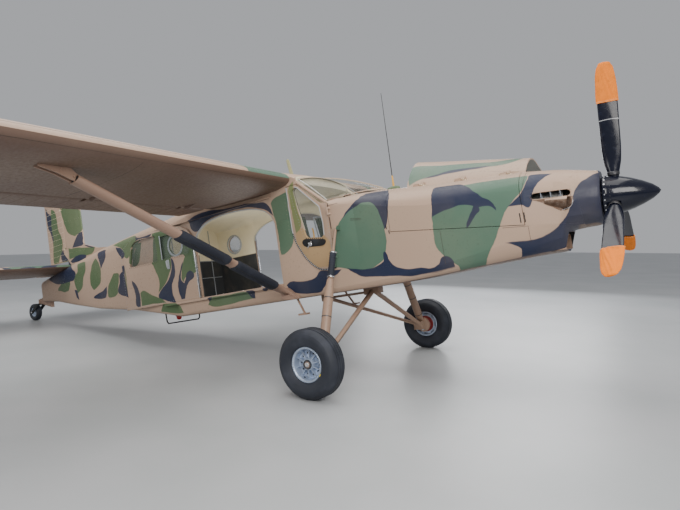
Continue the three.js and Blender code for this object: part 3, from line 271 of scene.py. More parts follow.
def piece(name, shape, finish, body="airframe", matrix=DRAWN, crease=32, bevel=0.0,
          replaces=(), also=()):
    """Makes a piece from a drawn shape. also lists more (shape, finish) pairs of the same piece."""
    parts = [(shape, finish), *also]
    points, faces = joined(*(part for part, _ in parts))
    mesh = bpy.data.meshes.new(name)
    mesh.from_pydata([matrix @ Vector(point) for point in points], [], faces)
    marks = [index for index, (part, _) in enumerate(parts) for _ in part[1]]
    mesh.polygons.foreach_set("material_index", marks)
    for _, material in parts:
        mesh.materials.append(material)
    obj = added(name, mesh)
    tidy = bmesh.new()
    tidy.from_mesh(mesh)
    bmesh.ops.remove_doubles(tidy, verts=tidy.verts, dist=1e-6)
    bmesh.ops.recalc_face_normals(tidy, faces=tidy.faces)
    tidy.to_mesh(mesh)
    tidy.free()
    return done(obj, body, crease, bevel, replaces=replaces)


def reskinned(node, finish, crease=30, bevel=0.0, sort=None, others=()):
    """A clean, smooth copy of a CAD node that stands for it. sort picks a finish for each face."""
    source = frame["nodes"][node]
    mesh = source.data.copy()
    mesh.name = node + "_skin"
    obj = added(mesh.name, mesh)
    tidy = bmesh.new()
    tidy.from_mesh(mesh)
    bmesh.ops.remove_doubles(tidy, verts=tidy.verts, dist=2e-5)
    bmesh.ops.dissolve_degenerate(tidy, edges=tidy.edges, dist=1e-5)
    bmesh.ops.dissolve_limit(tidy, angle_limit=FLAT, verts=tidy.verts, edges=tidy.edges)
    for edge in tidy.edges:
        edge.smooth = True
    tidy.to_mesh(mesh)
    tidy.free()
    mesh.materials.clear()
    for material in (finish, *others):
        mesh.materials.append(material)
    for face in mesh.polygons:
        face.material_index = sort(UNDRAWN @ face.center) if sort else 0
    return done(obj, source["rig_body"], crease, bevel, 40, [node])


# Geometry Nodes: a shape repeated along lines or round an axis, and bars along lines

def start_tree(name, inputs):
    """A new node tree with named inputs, its input sockets, and a way to add nodes to it."""
    tree = bpy.data.node_groups.new(name, "GeometryNodeTree")
    face = tree.interface
    face.new_socket("Geometry", in_out="INPUT", socket_type="NodeSocketGeometry")
    for label, kind in inputs:
        face.new_socket(label, in_out="INPUT", socket_type=kind)
    face.new_socket("Geometry", in_out="OUTPUT", socket_type="NodeSocketGeometry")

    def node(kind, sockets=None, **settings):
        made = tree.nodes.new(kind)
        for key, value in settings.items():
            setattr(made, key, value)
        for key, value in (sockets or {}).items():
            if isinstance(value, bpy.types.NodeSocket):
                tree.links.new(value, made.inputs[key])
            else:
                made.inputs[key].default_value = value
        return made

    return tree, node("NodeGroupInput").outputs, node


def end_tree(node, copies, finish):
    real = node("GeometryNodeRealizeInstances", {0: copies}).outputs[0]
    painted = node("GeometryNodeSetMaterial", {"Geometry": real, "Material": finish})
    node("NodeGroupOutput", {0: painted.outputs[0]})


def repeat_tree():
    """Puts a shape at even steps along every line of the mesh, turned to follow it if asked."""
    tree, given, node = start_tree("repeat along lines", (
        ("Spacing", "NodeSocketFloat"), ("Shape", "NodeSocketObject"),
        ("Finish", "NodeSocketMaterial"), ("Follow", "NodeSocketBool"),
    ))
    line = node("GeometryNodeMeshToCurve", {0: given["Geometry"]}).outputs[0]
    even = node(
        "GeometryNodeResampleCurve", {"Curve": line, "Length": given["Spacing"]}, mode="LENGTH",
    )
    tangent = node("GeometryNodeInputTangent").outputs[0]
    turn = node("FunctionNodeAlignRotationToVector", {"Vector": tangent}, axis="X").outputs[0]
    turned = node(
        "GeometryNodeSwitch", {"Switch": given["Follow"], "True": turn}, input_type="ROTATION",
    )
    shape = node("GeometryNodeObjectInfo", {"Object": given["Shape"]})
    copies = node("GeometryNodeInstanceOnPoints", {
        "Points": even.outputs[0], "Instance": shape.outputs["Geometry"],
        "Rotation": turned.outputs[0],
    }).outputs[0]
    end_tree(node, copies, given["Finish"])
    return tree


def ring_tree():
    """Turns copies of a shape evenly about the z axis."""
    tree, given, node = start_tree("copies round an axis", (
        ("Count", "NodeSocketInt"), ("Shape", "NodeSocketObject"), ("Finish", "NodeSocketMaterial"),
    ))
    spots = node("GeometryNodePoints", {"Count": given["Count"]}).outputs[0]
    index = node("GeometryNodeInputIndex").outputs[0]
    step = node("ShaderNodeMath", {0: 2 * pi, 1: given["Count"]}, operation="DIVIDE").outputs[0]
    angle = node("ShaderNodeMath", {0: index, 1: step}, operation="MULTIPLY").outputs[0]
    turn = node("ShaderNodeCombineXYZ", {2: angle}).outputs[0]
    shape = node("GeometryNodeObjectInfo", {"Object": given["Shape"]})
    copies = node("GeometryNodeInstanceOnPoints", {
        "Points": spots, "Instance": shape.outputs["Geometry"], "Rotation": turn,
    }).outputs[0]
    end_tree(node, copies, given["Finish"])
    return tree


def sweep_tree():
    """Turns every line of the mesh into a round bar."""
    tree, given, node = start_tree("bars along lines", (
        ("Radius", "NodeSocketFloat"), ("Sides", "NodeSocketInt"), ("Finish", "NodeSocketMaterial"),
    ))
    line = node("GeometryNodeMeshToCurve", {0: given["Geometry"]}).outputs[0]
    ring = node("GeometryNodeCurvePrimitiveCircle", {
        "Resolution": given["Sides"], "Radius": given["Radius"],
    }).outputs[0]
    bars = node("GeometryNodeCurveToMesh", {
        "Curve": line, "Profile Curve": ring, "Fill Caps": True,
    }).outputs[0]
    end_tree(node, bars, given["Finish"])
    return tree


REPEAT, RING, SWEEP = repeat_tree(), ring_tree(), sweep_tree()


def by_rule(name, tree, values, lines, matrix):
    """The object that a node tree makes, from lines of drawn points where it takes any."""
    points, edges = [], []
    for line in lines:
        start = len(points)
        points += [matrix @ Vector(point) for point in line]
        edges += [(start + i, start + i + 1) for i in range(len(line) - 1)]
    mesh = bpy.data.meshes.new(name)
    mesh.from_pydata(points, edges, [])
    obj = added(name, mesh)
    rule = obj.modifiers.new("rule", "NODES")
    rule.node_group = tree
    for item in tree.interface.items_tree:
        if item.in_out == "INPUT" and item.name in values:
            rule[item.identifier] = values[item.name]
    return settle(obj)


def copies_by(name, tree, shape, values, lines=(), matrix=DRAWN):
    """Copies of a shape drawn in millimetres, where a node tree puts them."""
    pattern = bpy.data.meshes.new("pattern")
    pattern.from_pydata([Vector(p) * 0.001 for p in shape[0]], [], shape[1])
    fixed = bmesh.new()
    fixed.from_mesh(pattern)
    bmesh.ops.recalc_face_normals(fixed, faces=fixed.faces)
    fixed.to_mesh(pattern)
    fixed.free()
    one = added("pattern", pattern)
    obj = by_rule(name, tree, {"Shape": one, **values}, lines, matrix)
    bpy.data.objects.remove(one)
    return obj


def repeated(name, lines, shape, spacing, finish, body="airframe", follow=False, matrix=DRAWN):
    """Repeats a shape, drawn in millimetres round the origin, along lines of drawn points."""
    values = {"Spacing": spacing / 1000, "Finish": finish, "Follow": follow}
    obj = copies_by(name, REPEAT, shape, values, lines, matrix)
    return done(obj, body, 50)


def ringed(name, shape, count, centre, axis, finish, body="airframe", matrix=DRAWN, start=0.0):
    """Copies of a shape round an axis. It is drawn with x outwards and z along the axis."""
    obj = copies_by(name, RING, shape, {"Count": count, "Finish": finish})
    place = along_axis(centre, axis) @ Matrix.Rotation(radians(start), 4, "Z")
    obj.data.transform(matrix @ place @ Matrix.Scale(1000, 4))
    return done(obj, body, 35)


def swept(name, lines, radius, finish, body="airframe", sides=6, matrix=DRAWN):
    """Bars of one radius along lines of drawn points."""
    values = {"Radius": radius / 1000, "Sides": sides, "Finish": finish}
    return done(by_rule(name, SWEEP, values, lines, matrix), body, 60)


def stacked(rows, sides):
    """An upright shape on the origin, through even rings of a radius and a height."""
    return loft([[(r * cos(a), r * sin(a), z) for a in around(sides)] for r, z in rows])


def stud(radius, height):
    """A low dome on the origin, with its crown along z."""
    return stacked([(radius, -height), (radius, height * 0.25), (radius * 0.62, height * 0.85),
                    (0.02, height)], 8)


def prism(radius, low, high):
    """An upright six-sided bar on the origin, such as a nut, with a chamfered top."""
    return stacked([(radius, low), (radius, high - (high - low) * 0.15), (radius * 0.86, high)], 6)


def shifted(shape, x, z=0.0):
    return moved(shape, Matrix.Translation((x, 0.0, z)))


def along_axis(centre, axis):
    """Puts what is drawn up the z axis on a centre, along an axis."""
    return Matrix.Translation(centre) @ UP.rotation_difference(Vector(axis)).to_matrix().to_4x4()


def out_of_side(x, y, z, turn):
    """Puts what is drawn up the z axis on one side of the plane, pointing out of it."""
    return Matrix.Translation((x, turn * y, z)) @ Matrix.Rotation(-turn * pi / 2, 4, "X")


TIPPED = Matrix.Rotation(pi / 2, 4, "Y")


def bead(radius):
    """A twenty-sided grain, for rivet heads that sit half in the skin."""
    grain = bmesh.new()
    bmesh.ops.create_icosphere(grain, subdivisions=1, radius=radius)
    shape = [v.co.copy() for v in grain.verts], [
        tuple(v.index for v in f.verts) for f in grain.faces
    ]
    grain.free()
    return shape


small_rivet = bead(2.8)


# The CAD skins, to lay lines on

# How far before its own place a ray starts, in mm, so that it meets the skin from outside
BACK_OFF = 900


def skin_of(*nodes):
    points, faces = [], []
    for node in nodes:
        mesh = frame["nodes"][node].data
        start = len(points)
        points += [UNDRAWN @ v.co for v in mesh.vertices]
        faces += [tuple(start + i for i in p.vertices) for p in mesh.polygons]
    return BVHTree.FromPolygons(points, faces)


def laid(skin, line, way, lift, step):
    """A line of drawn points, cut fine and dropped on a skin along a direction."""
    way = Vector(way).normalized()
    line = [Vector(point) for point in line]
    result = []
    for a, b in zip(line, line[1:]):
        parts = max(1, math.ceil((b - a).length / step))
        result += [a.lerp(b, k / parts) for k in range(parts)]
    result.append(line[-1])
    landed = []
    for point in result:
        hit, normal = skin.ray_cast(point - way * BACK_OFF, way)[:2]
        if hit is not None:
            landed.append(hit + normal * lift)
    return landed


def across_side(skin, points, side, lift=0.4, step=20):
    """A line of (x, z) points laid on a skin from one side."""
    return laid(skin, [(x, side * BACK_OFF, z) for x, z in points], (0, -side, 0), lift, step)


def kept(lines):
    """The lines that found a skin to lie on."""
    return [line for line in lines if len(line) > 1]


# Finishes: node expressions, and one function for each finish

class Wire:
    """One output of a shader node. Arithmetic on wires and numbers adds Math nodes."""

    def __init__(self, shade, socket):
        self.shade = shade
        self.socket = socket

    def maths(self, operation, *values):
        return self.shade.node("Math", dict(enumerate(values)), operation=operation)

    def __add__(self, other):
        return self.maths("ADD", self, other)

    __radd__ = __add__

    def __sub__(self, other):
        return self.maths("SUBTRACT", self, other)

    def __rsub__(self, other):
        return self.maths("SUBTRACT", other, self)

    def __mul__(self, other):
        return self.maths("MULTIPLY", self, other)

    __rmul__ = __mul__

    def __truediv__(self, other):
        return self.maths("DIVIDE", self, other)

    def __abs__(self):
        return self.maths("ABSOLUTE", self)

    def least(self, other):
        return self.maths("MINIMUM", self, other)

    def most(self, other):
        return self.maths("MAXIMUM", self, other)

    def sine(self):
        return self.maths("SINE", self)


class Shade:
    """Builds one material."""

    def __init__(self, name):
        self.material = bpy.data.materials.new(name)
        self.material.use_nodes = True
        self.tree = self.material.node_tree
        self.shader = self.tree.nodes["Principled BSDF"]

    def node(self, kind, sockets=None, output=0, **settings):
        made = self.tree.nodes.new("ShaderNode" + kind)
        for key, value in settings.items():
            if key == "stops":
                ramp = made.color_ramp
                for _ in value[2:]:
                    ramp.elements.new(0.5)
                for element, (place, colour) in zip(ramp.elements, value):
                    element.position, element.color = place, colour
            elif key == "heights":
                curve = made.mapping.curves[0]
                for _ in value[2:]:
                    curve.points.new(0.5, 0.5)
                for point, place in zip(curve.points, value):
                    point.location = place
                    point.handle_type = "AUTO_CLAMPED"
                made.mapping.update()
            else:
                setattr(made, key, value)
        for key, value in (sockets or {}).items():
            if isinstance(value, Wire):
                self.tree.links.new(value.socket, made.inputs[key])
            else:
                made.inputs[key].default_value = value
        return Wire(self, made.outputs[output])

    def place(self):
        """Where a point is in the aircraft's own axes, in metres."""
        here = self.node("TexCoord", output="Object")
        back = (-SHIFT * cos(PARKED), 0, SHIFT * sin(PARKED))
        return self.node("Mapping", {"Vector": here, "Location": back, "Rotation": (0, PARKED, 0)})

    def facing(self):
        """Which way the surface faces in the aircraft's own axes."""
        normal = self.node("TexCoord", output="Normal")
        return self.node(
            "Mapping", {"Vector": normal, "Rotation": (0, PARKED, 0)}, vector_type="NORMAL",
        )

    def parts(self, vector):
        return [self.node("SeparateXYZ", {0: vector}, output=i) for i in range(3)]

    def step(self, value, start, end, low=0.0, high=1.0):
        """A smooth rise from low to high while the value goes from start to end."""
        return self.node("MapRange", {
            "Value": value, "From Min": start, "From Max": end, "To Min": low, "To Max": high,
        }, interpolation_type="SMOOTHSTEP")

    def noise(self, vector, scale, detail=2.0, output="Fac"):
        return self.node(
            "TexNoise", {"Vector": vector, "Scale": scale, "Detail": detail}, output=output,
        )

    def mix(self, share, first, second):
        return self.node("Mix", {0: share, 6: first, 7: second}, output=2, data_type="RGBA")

    def bump(self, height, strength, distance):
        return self.node("Bump", {"Height": height, "Strength": strength, "Distance": distance})

    def finish(self, **values):
        for key, value in values.items():
            socket = self.shader.inputs[key.replace("_", " ")]
            if isinstance(value, Wire):
                self.tree.links.new(value.socket, socket)
            else:
                socket.default_value = value
        return self.material


def tone(red, green, blue):
    """A colour given as it looks on a screen, 0 to 255, as the shader wants it."""
    return tuple(((c / 255 + 0.055) / 1.055) ** 2.4 if c > 10 else c / 255 / 12.92
                 for c in (red, green, blue)) + (1.0,)


TAN = tone(176, 150, 131)
GREEN = tone(79, 108, 91)
DARK = tone(33, 41, 66)
# The tan darkened as it looks in the shade under the plane: painted shade for faces that look down
UNDERSIDE_SHADE = tone(108, 86, 74)
# The rear's olive: partly the green paint's own tone, partly painted shade over the rear fuselage
OLIVE_AND_REAR_SHADE = tone(80, 101, 68)
OCHRE = tone(176, 146, 108)
LEAF = tone(118, 126, 84)
CREAM = tone(238, 228, 200)
TONES = {"green": GREEN, "dark": DARK, "ochre": OCHRE, "leaf": LEAF}
# The width of a patch's sprayed edge, in metres like the numbers after it
EDGE = 0.012
# Half the fuselage's width, and how far along the pattern shifts over that width
BODY_HALF, SIDE_SHIFT = 0.63, 0.35
# Where the skin turns over to the roof, and how steeply the pattern goes up from there
SHOULDER, OVER_TOP = 0.6, 0.7
# The cabin's middle height, the firewall, and the line between the lining's two colours
CABIN_MIDDLE, FIREWALL, LINING_LINE = 1.7, 0.6, 1.8
# The port cowl door's hinge: its direction, a point on it, and how far the door stands open
DOOR_HINGE, HINGE_POINT, DOOR_OPEN = (0.99392, 0.0, -0.11012), (0.700, 0.060, 2.123), radians(65)

# Where the camouflage's patches lie: the tone, the way the patch is measured along, the first and
# the last place on that way, and the patch's lower and upper edge at even steps between them, all
# in millimetres. Where the steps are uneven, every place is given. "u" runs along the fuselage
# and "v" up and over it.
PATCHES = [
    # nose arc
    ("dark", "u", (106, 830),
     (1787, 1846, 1873, 1892, 1875, 1839, 1633, 1795, 2283),
     (1789, 1890, 1964, 2046, 2164, 2254, 2302, 2307, 2302)),
    # nose oval
    ("green", "u", (-75, 686),
     (1297, 1283, 1265, 1240, 1215, 1208, 1211, 1226, 1258, 1315, 1516),
     (1327, 1668, 1769, 1841, 1894, 1934, 1967, 1998, 1997, 1923, 1613)),
    # nose green
    ("green", "v", (1026, 2155),
     (1561, 1500, 1325, 1248, 1235, 1248, 1271, 1301, 1381, 2313),
     (1684, 1744, 1820, 1899, 1963, 2032, 2146, 2267, 2341, 2399)),
    # nose hook
    ("dark", "u", (1262, 1973),
     (1704, 1735, 1757, 1771, 1781, 1787, 1784, 1769, 1751, 1757, 1750, 1698),
     (1729, 2067, 2163, 2167, 2166, 2161, 2156, 2077, 1951, 1860, 1821, 1733)),
    # nose finger
    ("dark", "v", (1542, 1788),
     (1605, 1615, 1643, 1675, 1703, 1729), (1607, 1670, 1714, 1758, 1801, 1739)),
    # nose foot
    ("dark", "u",
     (121, 222, 324, 425, 526, 600, 635, 670, 728, 830, 931, 1032, 1133, 1234, 1335, 1437),
     (1263, 1181, 1135, 1127, 1123, 1118, 1118, 1117, 1116, 1110, 1103, 1111, 1121, 1136, 1156,
      1173),
     (1275, 1246, 1230, 1234, 1256, 1300, 1400, 1310, 1243, 1202, 1192, 1192, 1174, 1206, 1297,
      1188)),
    # nose diagonal
    ("dark", "u", (2073, 2645),
     (1727, 1730, 1734, 1700, 1857, 1956, 2028, 2086, 2136),
     (1728, 1782, 1845, 1938, 2066, 2165, 2165, 2153, 2138)),
    # nose front
    ("dark", "u",
     (1984, 2069, 2154, 2238, 2323, 2407, 2492, 2577, 2661, 2746, 2830, 2915, 3000, 3084, 3130,
      3600),
     (1376, 1352, 1309, 1070, 1000, 1000, 1000, 1000, 1000, 1000, 1000, 1000, 1000, 1000, 1000,
      1000),
     (1379, 1388, 1392, 1396, 1412, 1437, 1477, 1535, 1635, 1804, 1933, 2001, 2063, 2120, 2450,
      2450)),
    # post green
    ("green", "v", (1562, 2324),
     (-794, -794, -793, -799, -807, -823, -833, -584),
     (-739, -580, -551, -563, -569, -570, -566, -573)),
    # door foot
    ("ochre", "v", (1318, 1400, 1480, 1580, 1680, 1760, 1840),
     (-300, -360, -420, -490, -530, -530, -500), (-100, -60, -50, -50, -100, -300, -420)),
    # door green
    ("leaf", "v", (1783, 2424),
     (-516, -529, -538, -544, -548, -456), (-510, -412, -433, -451, -451, -445)),
    # gear dark
    ("dark", "u", (-784, 53),
     (1191, 1089, 1058, 1046, 1037, 1031, 1080, 1169, 1203, 1266),
     (1195, 1230, 1218, 1207, 1205, 1227, 1293, 1282, 1274, 1269)),
    # sill green
    ("green", "u", (-2165, -1328),
     (1098, 1057, 1063, 1070, 1077, 1083), (1108, 1208, 1206, 1205, 1205, 1087)),
    # sill dark rear
    ("dark", "v", (1128, 1208),
     (-2131, -2137, -2144, -2072), (-2131, -2097, -2063, -2029)),
    # sill dark front
    ("dark", "v", (1079, 1207),
     (-1324, -1382, -1404, -1423, -1442), (-1295, -1293, -1292, -1290, -1415)),
    # sill blob
    ("dark", "u", (-1169, -1054),
     (1177, 1159, 1155, 1164, 1208), (1179, 1208, 1209, 1209, 1209)),
    # brow dark
    ("dark", "u", (-2317, -811),
     (2302, 2125, 2204, 2243, 2263, 2275, 2278, 2271, 2255, 2221, 2167, 2063),
     (2321, 2356, 2373, 2370, 2357, 2342, 2331, 2322, 2308, 2291, 2270, 2070)),
    # slide column
    ("green", "v", (1391, 2268),
     (-3122, -3083, -3068, -3080, -3120, -3152, -3191, -3163, -3146, -3133, -3110, -3085),
     (-3118, -2984, -2890, -2832, -2774, -2755, -2760, -2766, -2752, -2733, -2716, -2915)),
    # pane green
    ("green", "u", (-2954, -2237),
     (1910, 1866, 1862, 1860, 1753, 1884), (1947, 2212, 2182, 2132, 2065, 1992)),
    # slide right green
    ("green", "v", (1466, 1919),
     (-2568, -2594, -2584, -2565, -2539, -2496, -2432, -2264),
     (-2565, -2511, -2271, -2266, -2262, -2259, -2259, -2259)),
    # slide boot
    ("dark", "v", (1211, 1867),
     (-2784, -2994, -3125, -3076, -2980, -2886, -2829, -2789, -2769, -2764, -2765),
     (-2756, -2781, -2804, -2807, -2791, -2751, -2705, -2693, -2695, -2703, -2760)),
    # slide fork
    ("dark", "v", (1233, 1774),
     (-2651, -2669, -2686, -2688, -2680, -2658, -2631, -2600, -2564, -2522),
     (-2568, -2542, -2525, -2498, -2565, -2597, -2586, -2558, -2528, -2519)),
    # slide fork tip
    ("dark", "v", (1397, 1623),
     (-2514, -2555, -2546, -2519, -2500, -2485, -2404),
     (-2507, -2476, -2432, -2345, -2322, -2340, -2396)),
    # slide blade
    ("dark", "v", (1233, 1653),
     (-3590, -3655, -3643, -3636, -3645, -3660, -3678, -3682),
     (-3538, -3531, -3523, -3526, -3536, -3559, -3596, -3670)),
    # slide foot green
    ("green", "u", (-3522, -2968),
     (1236, 1235, 1237, 1241, 1240, 1236, 1233, 1231),
     (1438, 1473, 1445, 1402, 1369, 1335, 1296, 1233)),
    # belly green
    ("green", "u", (-3141, -2657),
     (1109, 1087, 1066, 1051, 1049), (1145, 1230, 1223, 1215, 1059)),
    # slide top dark
    ("dark", "u", (-3682, -3076),
     (2383, 2205, 2219, 2233, 2231, 2220, 2265), (2388, 2348, 2308, 2268, 2267, 2268, 2268)),
    # rear pane green
    ("green", "u", (-3696, -3392),
     (1917, 1886, 1897, 1930, 2067, 2206), (1925, 2077, 2147, 2221, 2215, 2209)),
    # aft top green
    ("green", "u", (-4247, -3456),
     (2459, 2360, 2282, 2177, 1992, 2140, 2225), (2462, 2479, 2496, 2480, 2464, 2424, 2263)),
    # aft top dark
    ("dark", "u", (-4115, -3760),
     (2337, 2195, 2116, 2062, 2008, 2081), (2340, 2312, 2280, 2229, 2178, 2087)),
    # aft drop
    ("dark", "v", (2097, 2462),
     (-4616, -4620, -4636, -4656, -4683, -4709, -4685),
     (-4614, -4532, -4451, -4410, -4420, -4430, -4674)),
    # aft green one
    ("green", "v", (1806, 2325),
     (-4918, -4982, -5010, -5003, -4979, -4931, -4870, -4752),
     (-4894, -4679, -4640, -4621, -4615, -4633, -4670, -4745)),
    # aft green two
    ("green", "v", (1888, 2437),
     (-5470, -5519, -5552, -5563, -5512, -5394, -5405, -5416),
     (-5458, -5276, -5237, -5193, -5116, -5091, -5103, -5403)),
    # aft low one
    ("dark", "v", (1606, 1787),
     (-4567, -4840, -4949, -4636, -4498), (-4562, -4530, -4508, -4502, -4495)),
    # aft low two
    ("dark", "v", (1762, 1982),
     (-5449, -5530, -5558, -5578, -5595), (-5448, -5459, -5469, -5479, -5592)),
    # aft green three
    ("green", "v", (1556, 1935),
     (-4290, -4495, -4498, -4481, -4455, -4390, -4320, -4259),
     (-4280, -4183, -4170, -4152, -4121, -4101, -4093, -4244)),
    # aft sliver
    ("green", "v", (1482, 1870),
     (-3798, -3839, -3835, -3832, -3821, -3808), (-3796, -3797, -3797, -3792, -3791, -3807)),
    # aft glass
    ("dark", "v", (1394, 1913),
     (-3800, -3901, -4006, -4141, -4186, -4164, -4118, -4102, -4098, -3806),
     (-3797, -3800, -3803, -3807, -3818, -3825, -3830, -3814, -3800, -3804)),
    # tail green
    ("green", "v", (2018, 2368),
     (-5945, -6091, -6216, -6104, -5918, -5884, -5860),
     (-5796, -5751, -5712, -5724, -5735, -5733, -5837)),
    # fin green
    ("green", "v", (3143, 3759),
     (-5621, -5799, -5863, -5901, -5930, -5955, -5974, -5993),
     (-5614, -5433, -5384, -5365, -5345, -5325, -5651, -5984)),
    # rudder green
    ("green", "v", (2684, 3820),
     (-6306, -6440, -6419, -6382, -6378, -6389, -6391, -6349, -6308),
     (-6274, -6192, -6069, -6020, -6066, -6123, -6129, -6146, -6291)),
    # rudder dark
    ("dark", "v", (3150, 3915),
     (-6373, -6391, -6446, -6510, -6519, -6521, -6522),
     (-6365, -6332, -6355, -6349, -6324, -6435, -6520)),
    # fin wedge
    ("dark", "v", (2939, 3231),
     (-5738, -5702, -5665, -5624, -5583, -5519, -5410),
     (-5701, -5401, -5416, -5410, -5404, -5405, -5407)),
    # tail dark
    ("dark", "v", (2140, 2975),
     (-5571, -6223, -6445, -6571, -5944, -6039, -6134, -6149, -6042),
     (-5568, -5472, -5563, -5654, -5745, -5836, -5927, -6012, -6034)),
    # fillet green
    ("green", "u", (-5870, -5730, -5600, -5460, -5330, -5200, -5060),
     (2740, 2750, 2760, 2770, 2760, 2765, 2870), (2970, 2940, 2940, 2930, 2910, 2896, 2880)),
    # fillet low
    ("dark", "u", (-5850, -5750, -5600, -5460, -5350),
     (2700, 2660, 2660, 2670, 2760), (2710, 2750, 2790, 2800, 2770)),
    # fillet top
    ("dark", "u", (-5412, -5039),
     (2998, 2917, 2889, 2867, 2873), (3003, 2965, 2929, 2902, 2875)),
]

# The same on the port cowl door, as it lies when shut
OPEN_DOOR_PATCHES = [
    ("green", "u", (1124, 2613),
     (2457, 2141, 2129, 2116, 2111, 2110, 2038, 1874),
     (2466, 2372, 2307, 2261, 2226, 2223, 2159, 1899)),
    ("dark", "u", (1298, 2211),
     (2381, 2318, 2271, 2232, 2214, 2200, 2192), (2382, 2350, 2312, 2290, 2264, 2244, 2196)),
]


def patch_mask(shade, u, v, way, ends, lows, highs):
    """1 inside a patch, 0 outside, with a sprayed edge."""
    along, across = (u, v) if way == "u" else (v, u)
    start, end, low, high = (edge / 1000 for edge in (ends[0], ends[-1], min(lows), max(highs)))
    count = len(lows)
    shares = [i / (count - 1) for i in range(count)]
    if len(ends) == count:
        shares = [(place / 1000 - start) / (end - start) for place in ends]
    share = shade.node("MapRange", {"Value": along, "From Min": start, "From Max": end})
    edges = []
    for row in (lows, highs):
        line = [(place, (edge / 1000 - low) / (high - low)) for place, edge in zip(shares, row)]
        edges.append(shade.node("FloatCurve", {"Value": share}, heights=line) * (high - low) + low)
    inside = (across - edges[0]).least(edges[1] - across).least(along - start).least(end - along)
    return shade.step(inside, 0.0, EDGE)


def unrolled(x, y, z):
    """Where a point lies when the skin is laid flat: along the fuselage, and up and over it."""
    along = x + (y / BODY_HALF + 1.0) * SIDE_SHIFT
    return along, z + (SHOULDER - abs(y)).most(0.0) * OVER_TOP


def camouflage(shade, place, rear, front):
    """The painted pattern of the fuselage between two places along it."""
    x, y, z = shade.parts(place)
    wobble = shade.noise(place, 2.6, 3.0)
    ripple = shade.noise(place, 9.0, 2.0)
    u, v = unrolled(x, y, z)
    u, v = u + (ripple - 0.5) * 0.035, v + (wobble - 0.5) * 0.04
    colour = TAN
    # The green shifts from blue-green at the nose to olive at the tail: partly the paint's own
    # tone, partly painted light, the lit nose's bluer cast and the rear's shade
    tones = {**TONES, "green": shade.mix(shade.step(x, -2.6, 0.2), OLIVE_AND_REAR_SHADE, GREEN)}
    for name, way, *patch in PATCHES:
        reach = patch[0] if way == "u" else patch[1] + patch[2]
        if max(reach) / 1000 > rear - 0.2 and min(reach) / 1000 < front + 0.9:
            colour = shade.mix(patch_mask(shade, u, v, way, *patch), colour, tones[name])
    return colour


def weathered(shade, place, colour, rough, dirt=0.3):
    """Fading, grime and an uneven sheen over a paint colour, and the fine texture of the paint."""
    broad = shade.noise(place, 1.3, 4.0)
    fine = shade.noise(place, 38.0, 4.0)
    speck = shade.noise(place, 210.0, 2.0)
    colour = shade.mix(shade.step(broad, 0.35, 0.75, 0.0, 0.1), colour, tone(190, 172, 146))
    grime = shade.step(fine, 0.56, 0.78) * shade.step(broad, 0.42, 0.62)
    colour = shade.mix(grime * dirt, colour, tone(60, 52, 44))
    sheen = shade.step(fine, 0.3, 0.7, rough - 0.07, rough + 0.1)
    return colour, sheen, shade.bump(speck * 0.5 + fine * 0.5, 0.12, 0.0006)


def skin_paint(name, rear, front, rough=0.46):
    """Camouflage outside, brown painted shade below, the cabin's cream and dark lining inside."""
    shade = Shade(name)
    place = shade.place()
    x, y, z = shade.parts(place)
    nx, ny, nz = shade.parts(shade.facing())
    colour = camouflage(shade, place, rear, front)
    # Faces that look down take the darker brown: painted shade
    belly = shade.step(nz, -0.86, -0.94)
    colour = shade.mix(belly, colour, UNDERSIDE_SHADE)
    outward = y * ny + (z - CABIN_MIDDLE) * nz
    ahead = shade.step(nx, 0.9, 0.95) * shade.step(x, FIREWALL + 0.02, FIREWALL - 0.02)
    inside = shade.step(outward, -0.004, -0.02).most(ahead) * shade.step(abs(y), 0.606, SHOULDER)
    lining = shade.mix(shade.step(z, LINING_LINE, LINING_LINE + 0.015), tone(62, 64, 68), CREAM)
    scuff = shade.noise(place, 5.0, 5.0)
    lining = shade.mix(shade.step(scuff, 0.45, 0.85, 0.0, 0.22), lining, tone(150, 140, 118))
    colour, sheen, bump = weathered(shade, place, colour, rough)
    colour = shade.mix(inside, colour, lining)
    return shade.finish(Base_Color=colour, Roughness=sheen, Normal=bump, Specular_IOR_Level=0.3)


def plain_paint(name, colour, rough=0.5, dirt=0.3):
    shade = Shade(name)
    colour, sheen, bump = weathered(shade, shade.place(), colour, rough, dirt)
    return shade.finish(Base_Color=colour, Roughness=sheen, Normal=bump)


def wing_paint():
    """Brown painted shade below. Above, green and dark shapes on tan."""
    shade = Shade("wing camouflage")
    place = shade.place()
    x, y, z = shade.parts(place)
    nz = shade.parts(shade.facing())[2]
    flat = shade.node("CombineXYZ", {0: x, 1: y, 2: 0.0})
    bend = shade.noise(flat, 1.1, 1.0, output="Color")
    drift = shade.node("VectorMath", {0: bend, 1: (0.5, 0.5, 0.5)}, operation="SUBTRACT")
    drift = shade.node("VectorMath", {0: drift, "Scale": 1.3}, operation="SCALE")
    bent = shade.node("VectorMath", {0: flat, 1: drift}, operation="ADD")
    broad = shade.noise(bent, 0.62, 0.0)
    tight = shade.node("Mapping", {"Vector": bent, "Location": (3.7, 1.9, 0.0)})
    streak = shade.noise(tight, 0.85, 0.0)
    green = shade.step(broad, 0.508, 0.514)
    dark = shade.step(abs(streak - 0.53), 0.034, 0.029) * shade.step(broad, 0.42, 0.47)
    colour = shade.mix(green, TAN, GREEN)
    colour = shade.mix(dark, colour, DARK)
    # Faces that look down, and the upright sides of gaps, take the darker brown: painted shade
    colour = shade.mix(shade.step(nz, 0.14, 0.05), colour, UNDERSIDE_SHADE)
    colour, sheen, bump = weathered(shade, place, colour, 0.5)
    return shade.finish(Base_Color=colour, Roughness=sheen, Normal=bump)


